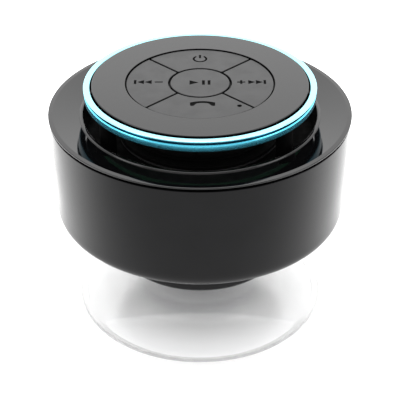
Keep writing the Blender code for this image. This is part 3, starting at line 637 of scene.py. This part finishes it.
def make_cover():
    """The rear cover, which is the floor of the drum, and the boss below it."""
    low, high, edge = extent("rear_cover")
    floor_low = bottom("housing_shell")
    boss = radii_near("rear_cover", low + 1.6 * MM, 0.4 * MM)[1]
    bore = radii_near("rear_cover", low)[0]
    hub, floor_high = bore + 3.2 * MM, low + 2.2 * MM
    hub_high = top("stud_insert") + 0.2 * MM
    cover = turned(
        "rear_cover_shell",
        rounded(
            (edge, high, 0.3 * MM),
            (edge, floor_low, 0.3 * MM),
            (boss + 0.2 * MM, floor_low, 0.8 * MM),
            (boss, low, 1.6 * MM),
            (bore, low, 0.4 * MM),
            (bore, hub_high),
            (hub, hub_high, 0.3 * MM),
            (hub, floor_high, 0.3 * MM),
            (boss - WALL, floor_high, 0.5 * MM),
            (boss - WALL, high, 0.2 * MM),
        ),
        MATERIALS["drum_shell"],
    )
    cuts = []
    for at in screw_places("cover_screw", 4):
        cuts.append(rod(2.4 * MM, floor_low - 1 * MM, floor_low + 1.5 * MM, at, 40))
        cuts.append(rod(SCREW_HOLE, floor_low - 2 * MM, high + 1 * MM, at))
    combine(cover, "DIFFERENCE", cuts)
    place(cover, "root", "drum_shell", "rear_cover")


def make_collar():
    """The dished collar: rolled rim, gentle dish, lip bead and the throat down to the baffle."""
    low, high, rim = extent("front_collar")
    rim_low = top("housing_shell") + 1.0 * MM
    throat = radii_near("front_collar", low)[0]
    lip = throat + 0.9 * MM
    lip_high = heights_between("front_collar", throat, lip + 0.8 * MM)[1]
    dish_inner = lip + 1.1 * MM
    dish_low = high - (rim - dish_inner) * tan(radians(8))
    roll = rim - 1.5 * MM
    skirt_inner, skirt_outer, seam = 43.9 * MM, 45.8 * MM, 46.3 * MM
    skirt_low = low + 1.7 * MM
    collar = turned(
        "front_collar_shell",
        rounded(
            (rim, rim_low, 0.2 * MM),
            (rim, high - 0.03 * MM, 0.25 * MM),
            (roll, high, 0.2 * MM),
            (dish_inner, dish_low, 0.12 * MM),
            (dish_inner - 0.08 * MM, lip_high, 0.45 * MM),
            (lip, lip_high, 0.2 * MM),
            (throat, low, 0.2 * MM),
            (throat + 1.8 * MM, low, 0.2 * MM),
            (lip + 1.8 * MM, dish_low - 1.8 * MM, 0.5 * MM),
            (skirt_inner, dish_low - 1.1 * MM, 0.4 * MM),
            (skirt_inner, skirt_low),
            (skirt_outer, skirt_low),
            (seam, rim_low),
            steps=8,
        ),
        MATERIALS["gloss_shell"],
        AROUND_FINE,
    )
    place(collar, "root", "gloss_shell", "front_collar")


# Control pod


def make_plate():
    """The flat ring of the control face round the keys."""
    low, high, edge = extent("face_plate")
    opening = radii_near("face_plate", high)[0]
    plate = turned(
        "face_plate_disc",
        rounded(
            (opening, low),
            (edge, low),
            (edge, high, 0.3 * MM),
            (opening, high, 0.12 * MM),
        ),
        MATERIALS["face_shell"],
        AROUND_FINE,
    )
    place(plate, "root", "gloss_shell", "face_plate")


def make_ring():
    """The trim: a rounded bezel, a deep groove below it and a rolled band at the bottom."""
    low, high, outer = extent("trim_ring")
    inner = radii_near("trim_ring", low)[0]
    groove_low, groove_high = high - 1.35 * MM, high - 0.45 * MM
    groove = outer - 1.1 * MM
    band = outer - 0.1 * MM
    ring = turned(
        "trim_ring_bezel",
        rounded(
            (inner, low, 0.1 * MM),
            (band, low, 0.5 * MM),
            (band, groove_low, 0.5 * MM),
            (groove, groove_low),
            (groove, groove_high),
            (outer, groove_high, 0.12 * MM),
            (outer, high - 0.02 * MM, 0.3 * MM),
            (inner, high - 0.05 * MM, 0.35 * MM),
            steps=8,
        ),
        MATERIALS["trim_ring"],
        AROUND_FINE,
        sharp=50,
    )
    place(ring, "root", "trim_ring", "trim_ring")


def make_pod_base():
    """The pod's bowl on its three posts."""
    low, high, flange = extent("pod_base")
    wall = radii_near("pod_base", high)
    flange_high = bottom("trim_ring") - GAP
    floor = heights_between("pod_base", 0, 1 * MM)[1]
    base = turned(
        "pod_bowl",
        rounded(
            (0, floor),
            (28.0 * MM, floor, 1 * MM),
            (wall[0], floor + 2 * MM, 1 * MM),
            (wall[0], high),
            (wall[1], high),
            (wall[1], flange_high),
            (flange, flange_high, 0.15 * MM),
            (flange, flange_high - 1.2 * MM, 0.5 * MM),
            (27.5 * MM, floor - 1.6 * MM, 4 * MM),
            (10 * MM, floor - 1.8 * MM, 4 * MM),
            (0, floor - 3.4 * MM),
        ),
        MATERIALS["shadow"],
        AROUND_MIDDLE,
    )
    post_high = bottom("key_board") - GAP
    posts = [rod(2.6 * MM, low, post_high, at, 32) for at in screw_places("pod_screw", 3)]
    combine(base, "UNION", posts)
    place(base, "root", "drum_shell", "pod_base")


# Keys and their symbols

STROKE = 0.7 * MM  # width of the symbols' lines
KEY_MIDDLE = 16.7 * MM  # distance from the axis to the middle of a quarter-ring key
STEM_RADIUS = 1.7 * MM
MIC_HOLE = 0.75 * MM
KEY_EASE = 0.08 * MM  # how much narrower a key is drawn than in the frame
SUNK_DEPTH = 0.3 * MM


def bar(middle, width, height):
    """Outline of a rectangle."""
    corners = ((-1, -1), (1, -1), (1, 1), (-1, 1))
    return [(middle[0] + x * width / 2, middle[1] + y * height / 2) for x, y in corners]


def arrow(middle, width, height, direction):
    """A triangle outline that points along X."""
    x, y = middle
    tip, base = x + direction * width / 2, x - direction * width / 2
    corners = [(base, y - height / 2), (tip, y), (base, y + height / 2)]
    return corners if direction > 0 else corners[::-1]


def bow(middle, radius, width, first, last, steps=28):
    """Outline of an arc stroke, with angles in degrees."""
    turns = [radians(first + (last - first) * i / steps) for i in range(steps + 1)]
    outer, inner = radius + width / 2, radius - width / 2
    outline = [(middle[0] + outer * cos(a), middle[1] + outer * sin(a)) for a in turns]
    return outline + [(middle[0] + inner * cos(a), middle[1] + inner * sin(a)) for a in reversed(turns)]


def power_symbol(middle):
    """An open ring with an upright line in its gap."""
    x, y = middle
    return [bow((x, y - 0.2 * MM), 2.1 * MM, STROKE, 125, 415), bar((x, y + 1.5 * MM), STROKE, 2.4 * MM)]


def handset_symbol(middle):
    """A telephone handset seen from the side: a bowed grip with two ends."""
    x, y = middle
    steps = 20
    upper, lower = [], []
    for i in range(steps + 1):
        share = i / steps * 2 - 1
        along = x + share * 3.9 * MM
        arch = 0.9 * MM * (1 - share**2)
        cup = 1.3 * MM / (1 + (abs(abs(share) - 0.8) / 0.2) ** 4)
        upper.append((along, y + arch + 0.8 * MM))
        lower.append((along, y + arch - 0.4 * MM - cup))
    return [lower + upper[::-1]]


def plus(middle, size, width):
    """Outline of a plus sign."""
    outline = []
    for quarter in range(4):
        turn = quarter * pi / 2
        for x, y in ((size, -width), (size, width), (width, width)):
            across = (x * cos(turn) - y * sin(turn)) / 2
            along = (x * sin(turn) + y * cos(turn)) / 2
            outline.append((middle[0] + across, middle[1] + along))
    return outline


def skip_symbol(middle, direction):
    """Two arrows and a bar at the outer end, and a plus or a minus sign at the inner end."""
    x, y = middle
    size, tall = 2.3 * MM, 2.7 * MM
    marks = [
        arrow((x - direction * 0.1 * MM, y), size, tall, direction),
        arrow((x + direction * 2.35 * MM, y), size, tall, direction),
        bar((x + direction * 4.05 * MM, y), 0.8 * MM, tall),
    ]
    sign = (x - direction * 3.5 * MM, y)
    marks.append(plus(sign, 2.6 * MM, STROKE) if direction > 0 else bar(sign, 2.6 * MM, STROKE))
    return marks


def play_symbol(middle):
    """An arrow and two bars: play and pause."""
    x, y = middle
    return [
        arrow((x - 1.9 * MM, y), 2.9 * MM, 3.0 * MM, 1),
        bar((x + 1.1 * MM, y), 0.9 * MM, 3.0 * MM),
        bar((x + 2.9 * MM, y), 0.9 * MM, 3.0 * MM),
    ]


def marks_piece(name, outlines, low, high, material):
    """Thin prisms over the outlines of a symbol."""
    bm = bmesh.new()
    for outline in outlines:
        prism_mesh(bm, outline, low, high)
    return finish_piece(name, bm, material)


def sector_key(name, angle):
    """A quarter-ring key between parallel grooves, with rounded corners and a soft upper edge."""
    low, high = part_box(name)
    inner = reach("key_play") + 0.65 * MM
    outer = max(abs(low.x), abs(low.y), abs(high.x), abs(high.y)) - KEY_EASE
    cap_low = high.z - 1.0 * MM
    outline, corners = [], []
    for radius, direction, steps in ((inner, 1, 14), (outer, -1, 28)):
        half = pi / 4 - asin(0.36 * MM / radius)
        corners += [len(outline), len(outline) + steps]
        turns = [angle + direction * half * (2 * i / steps - 1) for i in range(steps + 1)]
        outline += [(radius * cos(a), radius * sin(a)) for a in turns]
    bm = bmesh.new()
    lower, upper = prism_mesh(bm, outline, cap_low, high.z)
    upright = [bm.edges.get((lower[i], upper[i])) for i in corners]
    bmesh.ops.bevel(bm, geom=upright, offset=0.45 * MM, segments=4, profile=0.5, affect="EDGES")
    soften_top(bm, high.z)
    return finish_piece(name + "_cap", bm, MATERIALS["key_rubber"])


def round_key(name):
    """The middle key with its stem."""
    low, high, edge = extent(name)
    radius, under = edge - KEY_EASE, high - 1 * MM
    outline = rounded(
        (0, low),
        (STEM_RADIUS, low, 0.2 * MM),
        (STEM_RADIUS, under),
        (radius, under),
        (radius, high, 0.22 * MM),
        (0, high),
    )
    return turned(name + "_cap", outline, MATERIALS["key_rubber"], AROUND_MIDDLE)


def soften_top(bm, height):
    """Rounds the rim of the upper face."""
    rim = [e for e in bm.edges if all(abs(v.co.z - height) < 1e-6 for v in e.verts)]
    bmesh.ops.bevel(bm, geom=rim, offset=0.15 * MM, segments=3, profile=0.5, affect="EDGES")


def make_keys():
    """The five keys, each with its sunk symbol, and the microphone hole in the handset key."""
    plan = {
        "key_play": (None, play_symbol, (0, 0)),
        "key_power": (pi / 2, power_symbol, (0, KEY_MIDDLE + 0.4 * MM)),
        "key_handset": (-pi / 2, handset_symbol, (0.8 * MM, -14.2 * MM)),
        "key_previous": (pi, lambda at: skip_symbol(at, -1), (-KEY_MIDDLE, 0.3 * MM)),
        "key_next": (0.0, lambda at: skip_symbol(at, 1), (KEY_MIDDLE, 0.3 * MM)),
    }
    for name, (angle, symbol, at) in plan.items():
        high = top(name)
        key = round_key(name) if angle is None else sector_key(name, angle)
        outlines = symbol(at)
        cutter = marks_piece("helper", outlines, high - SUNK_DEPTH, high + SUNK_DEPTH, None)
        combine(key, "DIFFERENCE", [cutter], 30)
        if angle is not None:
            stem_at = (KEY_MIDDLE * cos(angle), KEY_MIDDLE * sin(angle))
            combine(key, "UNION", [rod(STEM_RADIUS, bottom(name), high - 0.6 * MM, stem_at)], 30)
        if name == "key_handset":
            mic_hole = rod(MIC_HOLE, high - 2 * MM, high + 1 * MM, middle_of("microphone"))
            combine(key, "DIFFERENCE", [mic_hole], 30)
        body = name.removeprefix("key_") + "_key"
        place(key, body, "key_rubber", name)
        ink_high = high - 0.12 * MM
        ink = marks_piece(name + "_symbol", outlines, high - SUNK_DEPTH, ink_high, MATERIALS["ink"])
        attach(ink, body)


# Suction cup


def make_suction_cup():
    """The clear cup: a hub round the stud, a thick disc and a thin skirt down to the sealing rim."""
    low, high, outer = extent("suction_cup")
    seal_inner = outer - 2.6 * MM
    hub, disc = 10 * MM, 24.2 * MM
    disc_high, skirt_high, edge_high = 9.6 * MM, 7.8 * MM, 0.8 * MM
    hollow = 6.4 * MM
    bore = 3.1 * MM
    pocket = reach("cup_stud") + GAP
    pocket_low = bottom("cup_stud") - GAP
    pocket_high = pocket_low + 2.2 * MM
    skirt_width, skirt_drop = outer - 0.2 * MM - disc, skirt_high - edge_high
    steps = 24
    upper, lower = [], []
    for i in range(steps + 1):
        share = i / steps
        upper.append((disc + skirt_width * share, skirt_high - skirt_drop * share**1.3))
        lower.append((seal_inner * cos(share * pi / 2), low + hollow * sin(share * pi / 2) ** 1.4))
    slope = 1.6 * MM
    crown = rounded(
        (bore, high, 0.2 * MM),
        (hub, high, 0.6 * MM),
        (hub, disc_high, 1.2 * MM),
        (disc - slope, disc_high, 3.0 * MM),
        (disc + slope, upper[2][1] + 0.2 * MM, 3.0 * MM),
        upper[4],
        steps=10,
    )[:-1]
    points = [
        (0, pocket_low),
        (pocket, pocket_low),
        (pocket, pocket_high),
        (bore, pocket_high),
        *crown[1:],
        *upper[4:],
        (outer, 0.45 * MM),
        (outer - 0.1 * MM, 0.15 * MM),
        (outer - 0.4 * MM, low),
        *lower[:-1],
        (0, low + hollow),
    ]
    cup = turned("suction_cup_vinyl", points, MATERIALS["clear_vinyl"], sharp=60)
    place(cup, "cup", "clear_vinyl", "suction_cup")


def thread_rings(bm, radius, depth, pitch, low, high, around):
    """Rings of corners down a screw thread, from its tapered tip at high to low."""
    rows = ceil((high - low) / pitch * 8)
    rings = []
    for row in range(rows, -1, -1):
        height = low + (high - low) * row / rows
        taper = 0.3 * radius * max(0.0, 1 - (high - height) / pitch)
        ring = []
        for i in range(around):
            angle = 2 * pi * i / around
            share = (height / pitch - i / around) % 1.0
            local = radius - depth * (1 - abs(2 * share - 1)) - taper
            ring.append(bm.verts.new((local * cos(angle), local * sin(angle), height)))
        rings.append(ring)
    return rings


def threaded(name, points, radius, depth, pitch, high, around=48):
    """A threaded shank with a turned head, whose (radius, height) points run outwards and down."""
    bm = bmesh.new()
    rings = thread_rings(bm, radius, depth, pitch, points[0][1] + 0.01 * MM, high, around)
    rings += [ring_of(bm, wide, height, around) for wide, height in points]
    for one, other in zip(rings, rings[1:]):
        bridge(bm, one, other)
    bm.faces.new(rings[0])
    bm.faces.new(rings[-1])
    return finish_piece(name, bm, MATERIALS["steel_parts"], sharp=50)


def make_stud():
    """The stud, with a flange that is moulded into the cup."""
    low, high, flange = extent("cup_stud")
    head = [
        (flange - 0.2 * MM, low + 1.6 * MM),
        (flange, low + 1.4 * MM),
        (flange, low + 0.2 * MM),
        (flange - 0.2 * MM, low),
    ]
    stud = threaded("cup_stud_thread", head, 2.8 * MM, 0.35 * MM, 1.0 * MM, high)
    place(stud, "cup", "steel_parts", "cup_stud")


def make_screws():
    """Self-tapping screws, driven upwards, with pan heads and a cross recess."""
    shanks = {"cover_screw": (4, 0.95 * MM), "baffle_screw": (3, 0.7 * MM), "pod_screw": (3, 1.0 * MM)}
    for kind, (count, shank) in shanks.items():
        for i in range(1, count + 1):
            name = f"{kind}_{i}"
            box_low, box_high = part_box(name)
            head, low = (box_high.x - box_low.x) / 2, box_low.z
            points = [(shank, low + 1.2 * MM), (head, low + 1.2 * MM), (head, low + 0.5 * MM)]
            points += [(head * 0.9, low + 0.2 * MM), (head * 0.7, low + 0.05 * MM), (head * 0.5, low)]
            piece = threaded(name + "_thread", points, shank, shank * 0.2, shank * 0.6, box_high.z, 24)
            cross = bmesh.new()
            prism_mesh(cross, plus((0, 0), head * 1.1, 0.5 * MM), low - 0.5 * MM, low + 0.6 * MM)
            combine(piece, "DIFFERENCE", [finish_piece("helper", cross, None)], 50)
            paint(piece, MATERIALS["screws"])
            move_to(piece, middle_of(name))
            place(piece, "root", "screws", name)


# Pieces inside, in the places that the frame gives


def place_turned(name, suffix, outline, body="root"):
    """Turns a small piece for a CAD node, in the node's own material."""
    piece = turned(name + suffix, outline, MATERIALS[SLOTS[name]], AROUND_SMALL)
    place(piece, body, SLOTS[name], name)


def eased_ring(inner, outer, low, high, edge):
    """Outline of a flat ring with rounded edges."""
    return rounded((inner, low, edge), (outer, low, edge), (outer, high, edge), (inner, high, edge))


def make_plain_rings():
    """Gaskets, washer, magnet parts, coil and insert: rings with eased edges."""
    plan = {
        "cup_washer": ("washer", 0.35 * MM),
        "rear_gasket": ("root", 0.2 * MM),
        "driver_gasket": ("root", 0.15 * MM),
        "driver_top_plate": ("root", 0.15 * MM),
        "driver_magnet": ("root", 0.4 * MM),
        "driver_voice_coil": ("cone", 0.1 * MM),
        "stud_insert": ("root", 0.15 * MM),
    }
    for name, (body, edge) in plan.items():
        low, high = bottom(name), top(name)
        inner, outer = radii_near(name, low)
        place_turned(name, "_ring", eased_ring(inner, outer, low, high, edge), body)


def make_membrane():
    """The rubber sheet under the keys, with a raised collar round each stem's hole."""
    name = "key_membrane"
    low, high, edge = extent(name)
    sheet = high - 0.25 * MM
    outline = rounded((0, low), (edge, low, 0.15 * MM), (edge, sheet, 0.2 * MM), (0, sheet))
    piece = turned(name + "_sheet", outline, MATERIALS["soft_rubber"])
    keys = [middle_of(f"dome_{key}") for key in ("play", "power", "handset", "previous", "next")]
    combine(piece, "UNION", [rod(3.2 * MM, low + 0.1 * MM, high, at, 48) for at in keys])
    holes = [rod(2.2 * MM, low - 1 * MM, high + 1 * MM, at, 48) for at in keys]
    holes.append(rod(1.0 * MM, low - 1 * MM, high + 1 * MM, middle_of("microphone")))
    combine(piece, "DIFFERENCE", holes)
    place(piece, "root", "soft_rubber", name)


def make_cone():
    """The paper cone, curved like a horn."""
    low, high, edge = extent("driver_cone")
    neck = radii_near("driver_cone", low)[0]
    steps, paper = 20, 0.5 * MM
    upper = []
    for i in range(steps + 1):
        share = i / steps
        upper.append((neck + (edge - neck) * share, low + paper + (high - low - paper) * share**0.85))
    lower = [(radius, height - paper) for radius, height in reversed(upper)]
    place_turned("driver_cone", "_paper", upper + lower, "cone")


def make_dust_cap():
    """The thin paper dome in the middle of the cone."""
    low, high, edge = extent("driver_dust_cap")
    skin = 0.25 * MM
    quarter = [pi / 2 * i / 12 for i in range(13)]
    outside = [(edge * sin(a), low + (high - low) * cos(a)) for a in quarter]
    inside = [((edge - skin) * sin(a), low + (high - skin - low) * cos(a)) for a in reversed(quarter)]
    place_turned("driver_dust_cap", "_dome", outside + inside, "cone")


def make_yoke():
    """The steel back plate of the magnet, with its pole."""
    name = "driver_yoke"
    low, high, back = extent(name)
    pole = radii_near(name, high)[1]
    plate = heights_between(name, back - 1 * MM, back + 1 * MM)[1]
    outline = rounded(
        (0, low),
        (back, low, 0.5 * MM),
        (back, plate, 0.3 * MM),
        (pole, plate, 0.2 * MM),
        (pole, high, 0.3 * MM),
        (0, high),
    )
    place_turned(name, "_pole", outline)


def make_basket():
    """The pressed basket: rolled flange, conical side with four windows, flat floor."""
    name = "driver_frame"
    low, high, edge = extent(name)
    bore = radii_near(name, low)[0]
    neck, foot, sheet = 22.8 * MM, 15.2 * MM, 1.0 * MM
    flange, bend = high - 1.2 * MM, low + 7.1 * MM
    outline = rounded(
        (edge, high, 0.3 * MM),
        (edge, flange, 0.3 * MM),
        (neck, flange, 0.3 * MM),
        (neck, bend, 1.0 * MM),
        (foot, low, 1.0 * MM),
        (bore, low, 0.1 * MM),
        (bore, low + sheet, 0.1 * MM),
        (foot - 0.6 * MM, low + sheet, 0.8 * MM),
        (neck - sheet, bend + 0.2 * MM, 1.0 * MM),
        (neck - sheet, high, 0.3 * MM),
    )
    basket = turned(name + "_pressing", outline, MATERIALS["shadow"], AROUND_MIDDLE)
    window = (60 * MM, 11 * MM, 4.5 * MM)
    height = low + 4.35 * MM
    across = Matrix.Rotation(pi / 2, 4, "Z")
    cuts = [soft_box(window, 1.0 * MM, turn, (0, 0, height)) for turn in (Matrix(), across)]
    combine(basket, "DIFFERENCE", cuts)
    place(basket, "root", "steel_parts", name)


def make_baffle():
    """The plate that carries the driver, with holes for the screws and the key board's cable."""
    name = "driver_baffle"
    low, high, edge = extent(name)
    opening = radii_near(name, low)[0]
    outline = eased_ring(opening, edge, low, high, 0.2 * MM)
    baffle = turned(name + "_plate", outline, MATERIALS["shadow"], AROUND_MIDDLE)
    holes = [(at, 1.0 * MM) for at in screw_places("baffle_screw", 3)]
    holes += [(at, 1.3 * MM) for at in screw_places("pod_screw", 3)]
    cable_circle = 29.6 * MM
    cable = port_frame_matrix().to_3x3() @ Vector((cable_circle, 0, 0))
    holes.append(((cable.x, cable.y), 1.8 * MM))
    combine(baffle, "DIFFERENCE", [rod(radius, low - 1 * MM, high + 1 * MM, at) for at, radius in holes])
    place(baffle, "root", "drum_shell", name)


def make_slab(name, corner, edge, suffix):
    """A soft slab square to the charging port, its upper and lower edges rounded."""
    turn = port_frame_matrix().to_3x3().to_4x4()
    back = turn.inverted()
    corners = [back @ c for c in corners_of(name)]
    width = max(c.x for c in corners) * 2
    depth = max(c.y for c in corners) * 2
    low, high = bottom(name), top(name)
    bm = bmesh.new()
    prism_mesh(bm, rounded_rectangle(width, depth, corner, 6), low, high)
    rims = [e for e in bm.edges if abs(e.verts[0].co.z - e.verts[1].co.z) < 1e-7]
    bmesh.ops.bevel(bm, geom=rims, offset=edge, segments=5, profile=0.5, affect="EDGES")
    bm.transform(turn)
    piece = finish_piece(name + suffix, bm, MATERIALS[SLOTS[name]])
    place(piece, "root", SLOTS[name], name)


def make_capacitor():
    """The capacitor's can, with a crimp near its foot."""
    name = "filter_capacitor"
    low, high = bottom(name), top(name)
    radius = (high - low) * 3 / 7
    crimp = low + 1.4 * MM
    outline = rounded(
        (0, low),
        (radius, low, 0.3 * MM),
        (radius, crimp - 0.4 * MM, 0.2 * MM),
        (radius - 0.35 * MM, crimp, 0.2 * MM),
        (radius, crimp + 0.4 * MM, 0.2 * MM),
        (radius, high, 0.4 * MM),
        (0, high),
    )
    piece = turned(name + "_can", outline, MATERIALS["foil_pouch"], 64)
    move_to(piece, middle_of(name))
    place(piece, "root", "foil_pouch", name)


# Charging-port plug


def make_plug():
    """The plug's cap follows the drum, with a stopper joined behind it; its edges are softened."""
    width, height, face = plug_size()
    matrix = port_frame_matrix()
    cap = soft_box((4 * MM, width, height), 1.3 * MM, matrix, (face + 0.65 * MM, 0, 0), 6)
    around = rod(face, -1, 1, (0, 0), AROUND)
    combine(cap, "INTERSECT", [around])
    stopper = soft_box((2.9 * MM, 7.2 * MM, 2.4 * MM), 0.8 * MM, matrix, (face - 1.9 * MM, 0, 0))
    combine(cap, "UNION", [stopper])
    cap.name = "port_plug_cap"
    paint(cap, MATERIALS["soft_rubber"])
    edge = cap.modifiers.new("soft_edges", "BEVEL")
    edge.width = 0.25 * MM
    edge.segments = 3
    edge.limit_method = "ANGLE"
    edge.angle_limit = radians(50)
    bake(cap)
    place(cap, "port_flap", "soft_rubber", "port_plug")


# The boards, leads, domes and the parts that flex keep their CAD shape


def paint_cad_nodes():
    for name, node in frame["nodes"].items():
        paint(node, MATERIALS["shadow" if name == "driver_surround" else SLOTS[name]])


# Studio


def light_table():
    """A white table that glows with painted light: a painted shadow dims it under the speaker, and it is
    brightest beside and behind it.
    """
    material = new_material("light_table", (0.35, 0.35, 0.35), 0.6)
    shader = shader_of(material)
    shader.inputs["Specular IOR Level"].default_value = 0.1
    vary_roughness(material, 0.2, 0.5, 0.7)
    point, axes = split_coordinates(material, "Object")
    radius = length_of(material, point)
    beside = smooth_step(material, radius, 55 * MM, 95 * MM, 0, 1.25)
    behind = smooth_step(material, axes["Y"], -110 * MM, 10 * MM, 0, 1)
    # painted shadow: the table's glow fades to nothing under the speaker
    below = smooth_step(material, radius, 0, 48 * MM, 0, 0.7)
    shader.inputs["Emission Color"].default_value = (1, 1, 1, 1)
    painted_glow = calculate(material, "MULTIPLY_ADD", beside, behind, below)
    link(material, painted_glow, shader.inputs["Emission Strength"])
    return material


def make_floor():
    """The table, a hair below the cup's sealing rim."""
    bm = bmesh.new()
    bmesh.ops.create_circle(bm, cap_ends=True, radius=4.0, segments=96)
    floor = finish_piece("floor", bm, light_table())
    floor.location.z = cad_bounds[0].z - 0.05 * MM


def make_world():
    """White tent: brightest behind the speaker, dimmer in front, and never less than white to the eye."""
    world = bpy.data.worlds.new("white_tent")
    bpy.context.scene.world = world
    world.use_nodes = True
    background = world.node_tree.nodes["Background"]
    background.inputs["Color"].default_value = (1, 1, 1, 1)
    axes = split_coordinates(world, "Generated")[1]
    tent = smooth_step(world, axes["Y"], -0.7, 0.9, 0.75, 1.9)
    rays = add_node(world, "ShaderNodeLightPath").outputs
    strength = calculate(world, "MAXIMUM", rays["Is Camera Ray"], tent)
    link(world, strength, background.inputs["Strength"])


def add_light(name, at, aim, size, power):
    lamp = bpy.data.lights.new(name, "AREA")
    lamp.shape = "DISK"
    lamp.size = size
    lamp.energy = power
    light = bpy.data.objects.new(name, lamp)
    light.location = at
    light.rotation_euler = (Vector(aim) - Vector(at)).to_track_quat("-Z", "Y").to_euler()
    bpy.context.scene.collection.objects.link(light)


def make_camera():
    """Looks down at the speaker from in front of the handset key."""
    data = bpy.data.cameras.new("camera")
    data.sensor_width = 36
    data.lens = 105.7
    camera = bpy.data.objects.new("camera", data)
    aim = Vector((0, 0, 36.3 * MM))
    down = radians(33.2)
    away = 400 * MM
    camera.location = aim + away * Vector((0, -cos(down), sin(down)))
    camera.rotation_euler = (aim - camera.location).to_track_quat("-Z", "Y").to_euler()
    bpy.context.scene.collection.objects.link(camera)
    bpy.context.scene.camera = camera


def make_studio():
    """A table and a white tent round the speaker, with three soft lamps."""
    make_floor()
    make_world()
    add_light("overhead", (0, 0.1, 0.9), (0, 0, 0.04), 0.8, 5)
    add_light("left", (-0.8, -0.3, 0.5), (0, 0, 0.05), 0.5, 2)
    add_light("right", (0.8, -0.3, 0.5), (0, 0, 0.05), 0.5, 2)
    bpy.context.scene.view_settings.view_transform = "Standard"
    make_camera()


paint_cad_nodes()
make_drum()
make_cover()
make_collar()
make_plate()
make_ring()
make_pod_base()
make_keys()
make_suction_cup()
make_stud()
make_screws()
make_plain_rings()
make_membrane()
make_cone()
make_dust_cap()
make_yoke()
make_basket()
make_baffle()
make_slab("battery_cell", 2 * MM, 1.6 * MM, "_pouch")
make_slab("battery_pad", 0.5 * MM, 0.3 * MM, "_foam")
make_capacitor()
make_plug()
make_studio()

bpy.context.view_layer.update()
